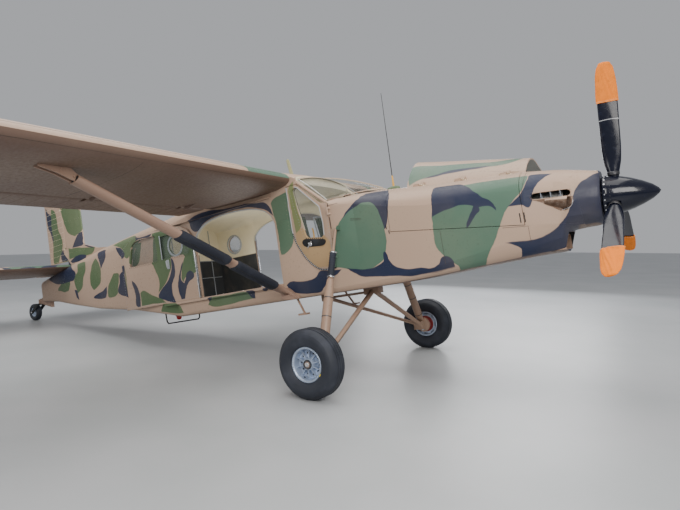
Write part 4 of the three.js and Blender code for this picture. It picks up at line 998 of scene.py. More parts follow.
def gloss_black(name, colour=(12, 16, 32), rough=0.16, wear=0.4):
    shade = Shade(name)
    place = shade.place()
    smear = shade.noise(place, 7.0, 4.0)
    fine = shade.noise(place, 40.0, 3.0)
    tint = shade.mix(shade.step(fine, 0.62, 0.8, 0.0, wear), tone(*colour), tone(36, 40, 60))
    sheen = shade.step(smear, 0.3, 0.75, rough, rough + 0.16)
    return shade.finish(
        Base_Color=tint, Roughness=sheen, Normal=shade.bump(fine, 0.02, 0.0003), Coat_Weight=0.2,
        Coat_Roughness=0.08, Specular_IOR_Level=0.35,
    )


def bare_metal(name, colour, rough, metal=0.9, heat=0.0):
    """Brushed or cast metal with handling marks, and heat tints where asked."""
    shade = Shade(name)
    place = shade.place()
    long = shade.node("Mapping", {"Vector": place, "Scale": (18.0, 160.0, 160.0)})
    brush = shade.noise(long, 3.0, 3.0)
    blot = shade.noise(place, 14.0, 4.0)
    tint = shade.mix(shade.step(blot, 0.5, 0.8, 0.0, 0.5), tone(*colour), tone(96, 84, 74))
    tint = shade.mix(shade.step(brush, 0.5, 0.75, 0.0, 0.25), tint, tone(230, 228, 224))
    if heat:
        scorch = shade.noise(place, 24.0, 2.0)
        tint = shade.mix(shade.step(scorch, 0.4, 0.62, 0.0, heat), tint, tone(84, 58, 44))
    sheen = shade.step(blot, 0.3, 0.8, rough, rough + 0.2)
    return shade.finish(
        Base_Color=tint, Roughness=sheen, Metallic=metal, Normal=shade.bump(brush, 0.1, 0.0005),
    )


def rubber(name, colour, rough):
    shade = Shade(name)
    place = shade.place()
    grain = shade.noise(place, 260.0, 3.0)
    dust = shade.noise(place, 6.0, 5.0)
    tint = shade.mix(shade.step(dust, 0.42, 0.8, 0.0, 0.4), tone(*colour), tone(72, 76, 88))
    sheen = shade.step(dust, 0.3, 0.7, rough - 0.1, rough + 0.12)
    return shade.finish(Base_Color=tint, Roughness=sheen, Normal=shade.bump(grain, 0.25, 0.0008))


def clear_glass(name, tint=(120, 132, 130), through=0.1):
    shade = Shade(name)
    place = shade.place()
    haze = shade.noise(place, 5.0, 4.0)
    film = shade.step(haze, 0.35, 0.75, through, through + 0.06)
    return shade.finish(Base_Color=tone(*tint), Roughness=0.06, Alpha=film, Specular_IOR_Level=0.9)


def cloth(name, colour, scale, fold):
    """A woven fabric with a fine over-and-under and faint stains."""
    shade = Shade(name)
    place = shade.place()
    x, _, z = shade.parts(place)
    weave = (x * scale).sine() * (z * scale).sine()
    stain = shade.noise(place, 16.0, 5.0)
    tint = shade.mix(shade.step(stain, 0.45, 0.85, 0.0, 0.4), tone(*colour),
                     tone(*(int(c * 0.62) for c in colour)))
    tint = shade.mix(shade.step(weave, -1.0, 1.0, 0.0, 0.05), tint, tone(250, 220, 190))
    crease = shade.noise(place, 30.0, 3.0) * fold + shade.noise(place, 9.0, 2.0) * (fold * 3.0)
    return shade.finish(
        Base_Color=tint, Roughness=0.78, Specular_IOR_Level=0.25,
        Normal=shade.bump(weave * 0.2 + crease, 0.5, 0.004),
    )


def blade_paint():
    """Black gloss with a fine pale ring part way out."""
    shade = Shade("black propeller paint")
    place = shade.place()
    away = shade.node(
        "VectorMath", {0: place, 1: Vector(PROP_HUB) / 1000}, output=1, operation="DISTANCE",
    )
    fine = shade.noise(place, 22.0, 4.0)
    tint = shade.mix(shade.step(fine, 0.55, 0.8, 0.0, 0.4), tone(12, 16, 32), tone(34, 40, 62))
    tint = shade.mix(shade.step(abs(away - 0.735), 0.0045, 0.0025), tint, tone(170, 172, 176))
    sheen = shade.step(fine, 0.3, 0.75, 0.16, 0.3)
    return shade.finish(
        Base_Color=tint, Roughness=sheen, Normal=shade.bump(fine, 0.02, 0.0004), Coat_Weight=0.2,
        Coat_Roughness=0.1, Specular_IOR_Level=0.3,
    )


def open_door_paint():
    """The port cowl door stands open, so its camouflage is turned with it."""
    shade = Shade("open cowl door camouflage")
    place, facing = shade.place(), shade.facing()
    shut = shade.node("VectorRotate", {
        "Vector": place, "Center": HINGE_POINT, "Axis": DOOR_HINGE, "Angle": -DOOR_OPEN,
    }, rotation_type="AXIS_ANGLE")
    faced = shade.node("VectorRotate", {
        "Vector": facing, "Center": (0, 0, 0), "Axis": DOOR_HINGE, "Angle": -DOOR_OPEN,
    }, rotation_type="AXIS_ANGLE")
    x, y, z = shade.parts(shut)
    ny, nz = shade.parts(faced)[1:]
    u, v = unrolled(x, y, z)
    u = u + (shade.noise(shut, 9.0) - 0.5) * 0.03
    colour = TAN
    for name, *patch in OPEN_DOOR_PATCHES:
        colour = shade.mix(patch_mask(shade, u, v, *patch), colour, TONES[name])
    outward = y * ny + (z - 1.55) * nz
    colour, sheen, bump = weathered(shade, place, colour, 0.4)
    colour = shade.mix(shade.step(outward, 0.0, -0.02), colour, tone(150, 152, 144))
    return shade.finish(Base_Color=colour, Roughness=sheen, Normal=bump)


def canvas():
    """Green seat canvas: a woven cloth with paler wear."""
    shade = Shade("green seat canvas")
    place = shade.place()
    x, y = shade.parts(place)[:2]
    weave = (x * 1400.0).sine() * (y * 1400.0).sine()
    wear = shade.noise(place, 9.0, 5.0)
    tint = shade.mix(shade.step(wear, 0.42, 0.75, 0.0, 0.6), tone(52, 62, 50), tone(88, 94, 74))
    tint = shade.mix(shade.step(weave, -0.4, 0.8, 0.0, 0.2), tint, tone(120, 124, 100))
    crease = shade.noise(place, 26.0, 3.0)
    return shade.finish(
        Base_Color=tint, Roughness=0.88, Sheen_Weight=0.15,
        Normal=shade.bump(weave * 0.25 + crease, 0.35, 0.002),
    )


# Camera at the photograph's view, soft studio light and a pale floor

EYE = Vector((5.568, -5.86, 1.595))
TURN, TILT, ROLL = radians(31.86), radians(-1.66), radians(0.26)
PHOTO_WIDTH, FOCAL_PIXELS, SENSOR = 680, 534, 36


def set_camera():
    ahead = Vector((-sin(TURN) * cos(TILT), cos(TURN) * cos(TILT), sin(TILT)))
    lens = bpy.data.cameras.new("camera")
    lens.sensor_width = SENSOR
    lens.lens = FOCAL_PIXELS / PHOTO_WIDTH * SENSOR
    lens.clip_end = 200
    camera = added("camera", lens)
    upright = ahead.to_track_quat("-Z", "Y").to_matrix().to_4x4()
    camera.matrix_world = Matrix.Translation(EYE) @ Matrix.Rotation(ROLL, 4, ahead) @ upright
    scene.camera = camera


def softbox(name, spot, aim, size, power, colour):
    light = bpy.data.lights.new(name, "AREA")
    light.shape = "RECTANGLE"
    light.size, light.size_y = size
    light.energy = power
    light.color = colour
    lamp = added(name, light)
    lamp.location = spot
    lamp.rotation_mode = "QUATERNION"
    lamp.rotation_quaternion = (Vector(aim) - Vector(spot)).to_track_quat("-Z", "Y")


def set_stage():
    mesh = bpy.data.meshes.new("floor")
    mesh.from_pydata([(-60, -60, 0), (60, -60, 0), (60, 60, 0), (-60, 60, 0)], [], [(0, 1, 2, 3)])
    shade = Shade("pale floor")
    here = shade.node("TexCoord", output="Object")
    cloud = shade.noise(here, 0.6, 4.0)
    tint = shade.mix(shade.step(cloud, 0.3, 0.7), (0.39, 0.41, 0.42, 1), (0.45, 0.46, 0.475, 1))
    mesh.materials.append(shade.finish(Base_Color=tint, Roughness=0.42))
    added("floor", mesh)
    world = bpy.data.worlds.new("studio")
    world.use_nodes = True
    world.node_tree.nodes["Background"].inputs[0].default_value = (0.86, 0.88, 0.92, 1)
    world.node_tree.nodes["Background"].inputs[1].default_value = 0.5
    scene.world = world
    softbox("overhead", (0, 0, 9.5), (0, 0, 0), (14, 9), 1150, (1.0, 0.98, 0.94))
    softbox("key", (9, -9, 6.5), (0.5, 0, 1.6), (7, 5), 1150, (1.0, 0.97, 0.92))
    softbox("side", (-7, -10, 4.5), (-2, 0, 1.5), (6, 4), 320, (1.0, 0.98, 0.95))
    softbox("far side", (0, 11, 3.8), (0, 0, 1.8), (8, 4), 620, (0.97, 0.98, 1.0))
    softbox("cabin fill", (0.5, 0, 1.12), (0.5, 0, 3), (1.3, 0.7), 6, (1.0, 0.98, 0.94))


set_camera()
set_stage()


# The finishes in use
cabin_paint = skin_paint("cabin camouflage", -3.0, 0.65)
door_paint = skin_paint("door camouflage", -3.9, -2.2)
tail_paint = skin_paint("tail camouflage", -7.2, -3.0)
nose_paint = skin_paint("nose camouflage", 0.65, 2.8, rough=0.42)
lift_paint = wing_paint()
brown_paint = plain_paint("tan brown paint", tone(152, 124, 106), 0.45)
strut_paint = plain_paint("strut paint", tone(146, 118, 102), 0.5)
aerial_paint = plain_paint("aerial paint", tone(158, 158, 118), 0.5)
black_paint = gloss_black("black gloss paint")
spinner_paint = gloss_black("polished black spinner", rough=0.12)
cockpit_black = plain_paint("matt black", tone(28, 29, 32), 0.7, dirt=0.2)
foam_black = rubber("black foam sleeve", (28, 32, 44), 0.8)
tyre_black = rubber("tyre rubber", (31, 35, 45), 0.62)
seal_black = rubber("black rubber seal", (24, 24, 26), 0.6)
engine_grey = bare_metal("engine casing", (158, 158, 156), 0.4, heat=0.12)
exhaust_steel = bare_metal("burnt exhaust steel", (120, 100, 86), 0.42, heat=0.6)
bright_steel = bare_metal("bright steel", (214, 216, 220), 0.22, metal=1.0)
dark_steel = bare_metal("dark steel", (76, 76, 80), 0.4)
wheel_silver = bare_metal("silver wheel", (168, 182, 204), 0.34, metal=0.55)
trim_grey = plain_paint("grey trim", tone(150, 156, 166), 0.4, dirt=0.4)
glass = clear_glass("window glass")
screen_glass = clear_glass("windscreen glass", (92, 98, 90), 0.1)
cover_cloth = cloth("orange cover cloth", (242, 128, 8), 900.0, 1.4)
creep_yellow = plain_paint("yellow mark", tone(226, 200, 40), 0.5, dirt=0.5)
brake_red = plain_paint("red brake paint", tone(128, 40, 42), 0.5, dirt=0.6)
stitch_thread = plain_paint("pale thread", tone(240, 200, 150), 0.8, dirt=0.2)
flight_yellow = plain_paint("yellow grip", tone(214, 160, 48), 0.45, dirt=0.4)
frame_grey = plain_paint("pale frame", tone(176, 182, 188), 0.36, dirt=0.5)
cream_trim = plain_paint("cream lining", tone(206, 198, 176), 0.6, dirt=0.35)
seam_dark = plain_paint("dark seam", tone(58, 50, 46), 0.7, dirt=0.2)
white_seal = plain_paint("white sealant", tone(214, 216, 214), 0.5, dirt=0.6)
piping_black = plain_paint("black piping", tone(34, 35, 36), 0.7, dirt=0.3)
dial_black = gloss_black("dial face", colour=(10, 11, 12), rough=0.25)
needle_white = plain_paint("white needle", tone(226, 226, 216), 0.5, dirt=0.1)
knob_red = plain_paint("red knob", tone(170, 36, 30), 0.35, dirt=0.3)
floor_grey = plain_paint("floor boards", tone(96, 98, 98), 0.6, dirt=0.8)
tip_green = gloss_black("green glass", colour=(16, 110, 60), rough=0.1, wear=0.0)
tip_red = gloss_black("red glass", colour=(180, 22, 20), rough=0.1, wear=0.0)
# The darker underside brown, painted shade, for the hinge fairings under the wing
underside_shade_paint = plain_paint("wing underside paint", UNDERSIDE_SHADE)
foot_green = plain_paint("green fairing", tone(84, 108, 76), 0.5)
blade_black = blade_paint()
open_paint = open_door_paint()
seat_canvas = canvas()

# Skins: every CAD shape that stays, cleaned up and finished
for node in ("cabin_roof", "belly_pan", "cockpit_shell"):
    reskinned(node, cabin_paint)
for side in SIDES:
    for node in ("door_post", "cabin_side", "pilot_door"):
        reskinned(f"{node}_{side}", cabin_paint, bevel=1.5)
    reskinned(f"sliding_door_{side}", door_paint, bevel=3)
    for node in ("wing", "flap", "aileron"):
        reskinned(f"{node}_{side}", lift_paint)
    for node in ("gear_vee", "entry_step"):
        reskinned(f"{node}_{side}", brown_paint, crease=40)
for node in ("rear_fuselage", "fin", "rudder"):
    reskinned(node, tail_paint)
for node in ("tailplane", "elevator"):
    reskinned(node, lift_paint)
for node in ("upper_cowl", "lower_cowl", "cowl_door_starboard", "nose_ring"):
    reskinned(node, nose_paint)
reskinned("spinner", spinner_paint)
reskinned("windscreen", screen_glass)
reskinned("engine", engine_grey)
reskinned("keel_tie", brown_paint, bevel=14)
reskinned("tail_leg", brown_paint)
reskinned("tail_fork", cockpit_black, bevel=2)
reskinned("instrument_panel", cockpit_black, bevel=4)
reskinned("belly_aerial", cockpit_black)


# Wheels: a ribbed tyre on a deep silver rim with spokes, bolts and a hub nut
AXLE_X, AXLE_Z, WHEEL_Y = 62.5, 351.0, 1500
TYRE_RADIUS, TYRE_HALF, RIM_RADIUS = 356.5, 128, 176
TREAD_GROOVES, GROOVE_WIDTH, GROOVE_DEPTH = (19, 57), 8.0, 8.0


def tyre_section(outer, half, seat, grooves, ridges):
    """(radius, along) round a tyre's section, with grooves in its crown and ridges on its walls."""
    middle = (outer + seat) / 2
    wall = smooth_line([
        (outer, 0), (outer - 0.4, half * 0.25), (outer - half * 0.1, half * 0.6),
        (outer - half * 0.36, half * 0.9), (middle, half), (seat + half * 0.18, half * 0.84),
        (seat, half * 0.62),
    ], 7)
    points = []
    for radius, along in wall:
        radius = min(radius, outer)
        if not any(abs(along - g) < GROOVE_WIDTH * 0.75 and radius > middle for g in grooves):
            lift = sum(1.8 for ridge in ridges if abs(radius - ridge) < 4.5)
            points.append((radius, along + lift))
    for groove in grooves:
        top = max(r for r, a in points if a < half * 0.8 and abs(a - groove) < half * 0.25)
        for away, share in ((-0.56, 0), (-0.42, 1), (0.42, 1), (0.56, 0)):
            deep = share * GROOVE_DEPTH
            points.append((min(top, outer) - deep, groove + away * GROOVE_WIDTH))
    crown = sorted((p for p in points if p[0] > middle + 30), key=lambda p: p[1])
    points = crown + [p for p in points if p[0] <= middle + 30]
    return [(r, -a) for r, a in points[::-1] if a > 0.01] + points


RIM_SECTION = [
    (31, 64), (56, 64), (62, 54), (66, 16), (74, 6), (130, 2), (142, 8), (149, 30), (152, 70),
    (157, 82), (165, 88), (174, 88), (181, 82), (181, 74), (175, 60), (175, -60), (181, -74),
    (181, -84), (172, -88), (160, -84), (154, -66), (150, -38), (140, -30), (74, -30), (66, -36),
    (62, -58), (31, -60),
]
for side, turn in SIDES.items():
    body = f"main_wheel_{side}"
    hub = (AXLE_X, turn * WHEEL_Y, AXLE_Z)
    out = (0, turn, 0)
    section = tyre_section(TYRE_RADIUS, TYRE_HALF, RIM_RADIUS, TREAD_GROOVES, (228, 306))
    piece(
        f"tyre_{side}", lathe(section, hub, out, 96), tyre_black, body=body, crease=40,
        replaces=[f"main_tyre_{side}"],
    )
    piece(
        f"rim_{side}", lathe(RIM_SECTION, hub, out, 72), wheel_silver, body=body, crease=34,
        replaces=[f"main_rim_{side}"],
    )
    spoke = loft([
        [(r, w, 0), (r, -w, 0), (r, -w * 0.6, top), (r, w * 0.6, top)]
        for r, w, top in ((58, 8, 54), (90, 7, 46), (124, 6, 40), (150, 6, 44))
    ])
    ringed(f"rim_spokes_{side}", spoke, 10, hub, out, wheel_silver, body=body, start=8)
    ringed(
        f"rim_bolts_{side}", shifted(prism(8, 0, 17), x=108), 10, hub, out, dark_steel, body=body,
        start=26,
    )
    ringed(f"rim_edge_bolts_{side}", shifted(prism(4.5, -2, 4), x=163, z=87), 20, hub, out,
           bright_steel, body=body, start=4)
    cap = lathe([(30, 60), (30, 70), (36, 74), (46, 74), (50, 68), (50, 60)], hub, out, 40)
    piece(f"hub_cap_{side}", cap, dark_steel, body=body, crease=40)
    nut = moved(prism(25, 62, 80), along_axis(hub, out))
    piece(f"hub_nut_{side}", nut, bright_steel, body=body, bevel=1.2)
    angle = radians(-118)
    stem = [
        (AXLE_X + r * cos(angle), turn * (WHEEL_Y + a), AXLE_Z + r * sin(angle))
        for r, a in ((150, 40), (142, 46), (136, 56), (134, 68))
    ]
    piece(f"valve_{side}", tube(stem, [6, 5.5, 5, 5], 10), seal_black, body=body)
    mark = [
        (AXLE_X + 194 * cos(a), turn * (WHEEL_Y + 101), AXLE_Z + 194 * sin(a))
        for a in (radians(-38 + k * 2) for k in range(5))
    ]
    piece(f"creep_mark_{side}", tube(mark, 10, 8, flat=0.5, up=(0, 1, 0)), creep_yellow, body=body)
    # Inboard: a scalloped silver plate round the red drum
    edge = [(142 + 9 * (1 if k // 6 % 2 else -1), a) for k, a in enumerate(around(96))]
    scallop = loft([[(r * cos(a), r * sin(a), z) for r, a in edge] for z in (-62, -54)])
    piece(
        f"brake_plate_{side}", moved(scallop, along_axis(hub, out)), wheel_silver, body=body,
        bevel=1.0,
    )
    piece(f"brake_drum_{side}", lathe(
        [(64, -30), (112, -30), (116, -66), (108, -76), (70, -78), (64, -70)], hub, out, 56,
    ), brake_red, body=body, crease=34)

# Main gear legs: the rubber boot and its clamps, the lower sleeve, the brake pipe and the caliper
LEG_TOP, LEG_FOOT = Vector((75, 668, 1740)), Vector((62.5, 1300, 351))
LEG = LEG_FOOT - LEG_TOP


def leg_at(share, turn, ahead=0.0):
    point = LEG_TOP + LEG * share + Vector((ahead, 0, 0))
    return Vector((point.x, turn * point.y, point.z))


def leg_finish(point):
    """Which finish a face of the gear leg takes: brown paint, rubber, red, or camouflage at its
    top.
    """
    here = Vector((point.x, abs(point.y), point.z))
    share = (here - LEG_TOP).dot(LEG) / LEG.length_squared
    if share < 0.03:
        return 3
    if 0.195 < share < 0.405 and here.z > 900:
        return 1
    away = math.hypot(here.x - AXLE_X, here.z - AXLE_Z)
    if here.y > 1339 and 35 < away:
        return 2
    return 0


def leg_radius(share):
    """The radius of the lower leg in mm, with the sleeve that thickens it below the boot."""
    return 38 + 15 * min(1.0, max(0.0, (share - 0.42) / 0.12))


for side, turn in SIDES.items():
    reskinned(f"gear_leg_{side}", brown_paint, crease=40, sort=leg_finish,
              others=(foam_black, brake_red, cabin_paint))
    rows = []
    for k in range(41):
        along = (0.203 + 0.19 * k / 40) * LEG.length
        rows.append((37.5 if k % 4 in (1, 2) else 34.5, along))
    way = Vector((LEG.x, turn * LEG.y, LEG.z))
    boot = lathe([(30, rows[0][1]), *rows, (30, rows[-1][1])], leg_at(0, turn), way, 32)
    piece(f"leg_boot_{side}", boot, foam_black, crease=60)
    for n, share in enumerate((0.207, 0.398)):
        along = share * LEG.length
        band = lathe([(33, along - 6), (39.5, along - 6), (39.5, along + 6), (33, along + 6)],
                     leg_at(0, turn), way, 32)
        screw = moved(block(34, 56, -5, 5, along - 5, along + 5), along_axis(leg_at(0, turn), way))
        piece(f"boot_clamp_{side}_{n}", joined(band, screw), bright_steel, bevel=0.8)
    rows = [(leg_radius(share), share * LEG.length) for share in (0.42, 0.48, 0.54, 0.7, 0.9)]
    last = rows[-1][1]
    sleeve = lathe(
        [(30, rows[0][1]), *rows, (48, last + 16), (36, last + 24)], leg_at(0, turn), way, 40,
    )
    piece(f"leg_sleeve_{side}", sleeve, brown_paint, crease=40)
    for n, share in enumerate((0.56, 0.7, 0.88)):
        along = share * LEG.length
        thick = leg_radius(share)
        ring = lathe([(thick - 3, along - 5), (thick + 2.2, along - 5), (thick + 2.2, along + 5),
                      (thick - 3, along + 5)], leg_at(0, turn), way, 28)
        piece(f"pipe_clip_{side}_{n}", ring, dark_steel)
    route = [leg_at(s, turn, -leg_radius(s) - 5) for s in (0.42, 0.52, 0.62, 0.72, 0.82, 0.9)]
    route += [Vector((-20, turn * 1282, 430)), Vector((-34, turn * 1300, 405))]
    piece(f"brake_pipe_{side}", tube(smooth_line(route, 6), 5, 10), seal_black)
    top = joined(block(-62, 10, 1292, 1330, 296, 406), block(-58, 6, 1326, 1337, 304, 398))
    piece(f"brake_caliper_{side}", sided(top, turn), dark_steel, bevel=6)
    piece(
        f"knuckle_nut_{side}",
        moved(prism(22, 0, 16),
              Matrix.Translation((AXLE_X, turn * 1300, AXLE_Z - 60)) @ Matrix.Rotation(pi, 4, "X")),
        bright_steel, bevel=1,
    )


# Wing struts: black padded sleeves with a seam, and the end fittings
STRUT_LOW, STRUT_HIGH = Vector((-760, 665, 1095)), Vector((-915, 3340, 2400))
STRUT = STRUT_HIGH - STRUT_LOW
PADS = ((0.085, 0.30), (0.34, 0.56))


def strut_point(share, turn, angle, wide, thick):
    """A point on the strut's oval, with the angle from its leading edge towards its underside."""
    under = STRUT.cross(Vector((1, 0, 0))).normalized()
    point = STRUT_LOW + STRUT * share + Vector((1, 0, 0)) * wide * cos(angle)
    point += under * thick * sin(angle)
    return Vector((point.x, turn * point.y, point.z))


def strut_finish(point):
    here = Vector((point.x, abs(point.y), point.z))
    share = (here - STRUT_LOW).dot(STRUT) / STRUT.length_squared
    return 1 if any(low - 0.004 < share < high + 0.004 for low, high in PADS) else 0


def padded_sleeve(low, high, turn):
    """A quilted sleeve round the strut, a little fuller between its ties."""
    rings = []
    steps = 44
    for k in range(steps + 1):
        share = k / steps
        swell = 1.4 * abs(sin(share * pi * 7)) ** 0.5
        end = min(1.0, min(share, 1 - share) * 26)
        wide, thick = 80 + 5 * end + swell, 51 + 5 * end + swell
        rings.append([strut_point(low + (high - low) * share, turn, a, wide, thick)
                      for a in around(40)])
    return loft(rings)


for side, turn in SIDES.items():
    reskinned(f"wing_strut_{side}", strut_paint, crease=50, sort=strut_finish, others=(foam_black,))
    for n, (low, high) in enumerate(PADS):
        piece(f"strut_sleeve_{side}_{n}", padded_sleeve(low, high, turn), foam_black, crease=60)
        angle = radians(58)
        seam = [strut_point(low + (high - low) * k / 20, turn, angle, 87, 58) for k in range(21)]
        piece(f"sleeve_seam_{side}_{n}", tube(seam, 4, 8), seal_black)
    # Foot: bolts through the plate. Head: the tube's dark socket and the fork's bolts.
    for n, (x, z, r) in enumerate(((-790, 1095, 17), (-700, 1062, 13), (-640, 1030, 9))):
        bolt = moved(prism(r, -3, 13), out_of_side(x, 671, z, turn))
        piece(f"strut_foot_bolt_{side}_{n}", bolt, strut_paint, bevel=1.2)
    socket = [
        [strut_point(share, turn, a, 66, 33) for a in around(40)] for share in (0.925, 0.9362)
    ]
    piece(f"strut_socket_{side}", loft(socket), seal_black)
    bolts = [moved(prism(11, -46, 46), Matrix.Translation((-903, turn * y, z)) @ TIPPED)
             for y, z in ((3090, 2284), (3186, 2330), (3290, 2382))]
    piece(f"strut_head_bolts_{side}", joined(*bolts), strut_paint, bevel=1)

# Exhausts: burnt steel stubs with a bright lip, and the vent's rim and dividers
EXHAUST_VENT = [
    (2190, 1648), (2198, 1670), (2220, 1677), (2512, 1657), (2536, 1645), (2542, 1624),
    (2534, 1603), (2512, 1593), (2220, 1618), (2198, 1627),
]
NOSE_NODES = (
    "upper_cowl", "lower_cowl", "cowl_door_starboard", "nose_ring", "exhaust_starboard",
    "exhaust_port",
)
cowl_skin = skin_of(*NOSE_NODES)


def from_side(skin, x, z, turn, reach=700):
    """Where a level ray from one side meets a skin."""
    return skin.ray_cast(Vector((x, turn * reach, z)), Vector((0, -turn, 0)))[0]


def exhaust_finish(point):
    """Camouflage on the panel round the vent, burnt steel on the stub below it."""
    edge = 1606 - (point.x - 2190) * 0.16
    return 0 if point.z > edge else 1


for side, turn in SIDES.items():
    reskinned(f"exhaust_{side}", nose_paint, crease=34, sort=exhaust_finish,
              others=(exhaust_steel,))
    vent = smooth_line([(x, 0, z) for x, z in EXHAUST_VENT], 3, closed=True)
    outer = [from_side(cowl_skin, x, z, turn) for x, z in grown([(p.x, p.z) for p in vent], 3.5)]
    piece(f"vent_rim_{side}", tube(outer, 4.0, 8, closed=True), nose_paint)
    for n, x in enumerate((2277, 2364, 2451)):
        low, high = 1618 - (x - 2220) * 0.0856, 1677 - (x - 2220) * 0.0685
        depth = abs(from_side(cowl_skin, x, high + 6, turn).y)
        fin = loft([
            [(x + s, turn * y, z)
             for y, z in ((depth - 1, high + 2), (depth - 1, low - 2), (depth - 64, low - 2),
                          (depth - 64, high + 2))]
            for s in (-2.2, 2.2)
        ])
        piece(f"vent_divider_{side}_{n}", fin, trim_grey)
    lip = [(2440, 1466), (2476, 1470), (2508, 1480), (2532, 1499), (2546, 1524), (2550, 1552)]
    edge = [Vector((p.x, from_side(cowl_skin, p.x, p.z + 6, turn).y + turn * 2, p.z))
            for p in smooth_line([(x, 0, z) for x, z in lip], 4)]
    thick = [2 + 3.5 * sin(pi * k / (len(edge) - 1)) for k in range(len(edge))]
    piece(f"exhaust_lip_{side}", tube(edge, thick, 8), bright_steel)

# The chin intake: a painted duct behind the mouth, with a mesh across its back
duct = [
    [(x, -half, low), (x, half, low), (x, half, high), (x, -half, high)]
    for x, half, low, high in ((2402, 196, 1085, 1240), (2250, 190, 1088, 1246),
                               (2250, 186, 1092, 1242), (2402, 192, 1089, 1236))
]
piece("intake_duct", loft(duct, closed=True), brown_paint)
mesh_lines = [[(2256, y, 1090), (2256, y, 1244)] for y in range(-180, 181, 15)]
mesh_lines += [[(2256, -188, z), (2256, 188, z)] for z in range(1096, 1240, 14)]
piece("intake_mesh", joined(*(tube(line, 1.6, 5) for line in mesh_lines)), dark_steel)
piece("intake_back", block(2240, 2250, -186, 186, 1090, 1244), cockpit_black)


# Propeller: smooth blades, bolted spinner ring and cloth tip covers
BLADE_TABLE = [
    (95, 88, 88, 90), (210, 104, 82, 92), (330, 154, 56, 96), (470, 174, 42, 93),
    (680, 176, 33, 88), (900, 180, 26, 83), (1100, 166, 20, 79), (1230, 132, 15, 77),
    (1280, 80, 10, 76),
]
FIRST_BLADE = 4.4
COVER_START, COVER_END = 900, 1286


def blade_row(radius):
    """Chord, thickness and pitch at a radius, read smoothly from the table."""
    rows = BLADE_TABLE
    i = max(k for k in range(len(rows) - 1) if rows[k][0] <= radius or k == 0)
    t = min(1.0, max(0.0, (radius - rows[i][0]) / (rows[i + 1][0] - rows[i][0])))
    p = [Vector(rows[min(max(i + k, 0), len(rows) - 1)]) for k in (-1, 0, 1, 2)]
    row = curved(p, t)
    return row[1], row[2], radians(row[3])


def blade_ring(radius, sides, extra=0.0, ripple=None, shrink=1.0, at=None):
    chord, thick, pitch = blade_row(min(radius, 1279))
    ring = []
    for angle in around(sides):
        push = extra + (ripple(angle, radius) if ripple else 0.0)
        wide = (chord / 2 * shrink + push) * cos(angle)
        deep = (thick / 2 * shrink + push) * sin(angle)
        ring.append((wide * sin(pitch) + deep * cos(pitch),
                     wide * cos(pitch) - deep * sin(pitch), at or radius))
    return ring


# Angle at the open end, angle at the tip, width and height
COVER_FOLDS = (
    (0.75, 1.95, 0.12, 11.0), (1.25, 2.15, 0.1, 7.0), (0.55, 1.45, 0.12, 6.0),
    (2.3, 2.2, 0.09, 4.0),
)


def cover_ripple(angle, radius):
    """Folds of the cloth: long ones down the sleeve and slack ones across it."""
    share = (radius - COVER_START) / (COVER_END - COVER_START)
    fade = sin(pi * min(1.0, share * 0.9 + 0.1)) ** 0.5
    fold = 0.0
    for start, end, wide, high in COVER_FOLDS:
        away = (angle % pi - start - (end - start) * share) / wide
        fold += high * fade * math.exp(-away * away)
    slack = 1.1 * sin(0.034 * radius + 2 * angle) + 0.7 * sin(7 * angle - 0.034 * radius)
    return fold + slack * (0.4 + 0.6 * share)


stitch = block(-3.2, 3.2, -1.0, 1.0, -1.0, 1.0)
for n, letter in enumerate("abc"):
    place = THRUST @ Matrix.Rotation(radians(FIRST_BLADE + 120 * n), 4, "X")
    radii = [95, 120, 150, 180] + [210 + 26.75 * k for k in range(41)]
    blade = loft([blade_ring(r, 36) for r in radii])
    piece(
        f"propeller_blade_{letter}", blade, blade_black if letter == "a" else black_paint,
        body="propeller", matrix=place, crease=50, replaces=[f"blade_{letter}"],
    )
    cuff = lathe([(52, 196), (56, 200), (56, 226), (52, 230)], (0, 0, 0), (0, 0, 1), 36)
    piece(f"blade_cuff_{letter}", cuff, dark_steel, body="propeller", matrix=place)
    radii = [COVER_START + (COVER_END - 34 - COVER_START) * k / 30 for k in range(31)]
    outer = [blade_ring(r, 64, 6.2, cover_ripple) for r in radii]
    inner = [blade_ring(r, 64, 4.2, cover_ripple) for r in radii]
    last = radii[-1]
    for share, top in ((0.97, last + 12), (0.88, last + 22), (0.7, last + 29), (0.35, last + 33)):
        def ripple(angle, radius):
            return cover_ripple(angle, radius) * share
        outer.append(blade_ring(last, 64, 6.2 * share, ripple, share, top))
        inner.append(blade_ring(last, 64, 4.2 * share, ripple, share * 0.985, top - 2))
    cover = piece(f"tip_cover_{letter}", loft(inner[::-1] + outer), cover_cloth, body="propeller",
                  matrix=place, crease=70, replaces=[f"blade_cover_{letter}"])
    hem = [blade_ring(COVER_START + edge, 64, push, cover_ripple)
           for edge, push in ((0, 6.0), (0, 8.2), (3, 8.8), (15, 8.8), (18, 6.6), (18, 6.0))]
    hem = piece(
        f"cover_hem_{letter}", loft(hem, closed=True), cover_cloth, body="propeller", matrix=place,
        crease=50,
    )
    seams = [
        tube([blade_ring(r, 64, 6.8, cover_ripple)[k] for r in radii], 2.4, 8) for k in (0, 32)
    ]
    seam = piece(
        f"cover_seam_{letter}", joined(*seams), cover_cloth, body="propeller", matrix=place,
    )
    loops = [blade_ring(COVER_START + r, 64, 9.0, cover_ripple) for r in (4, 15)]
    stitches = repeated(
        f"cover_stitches_{letter}", [ring + ring[:1] for ring in loops], stitch, 11, stitch_thread,
        body="propeller", follow=True, matrix=place,
    )

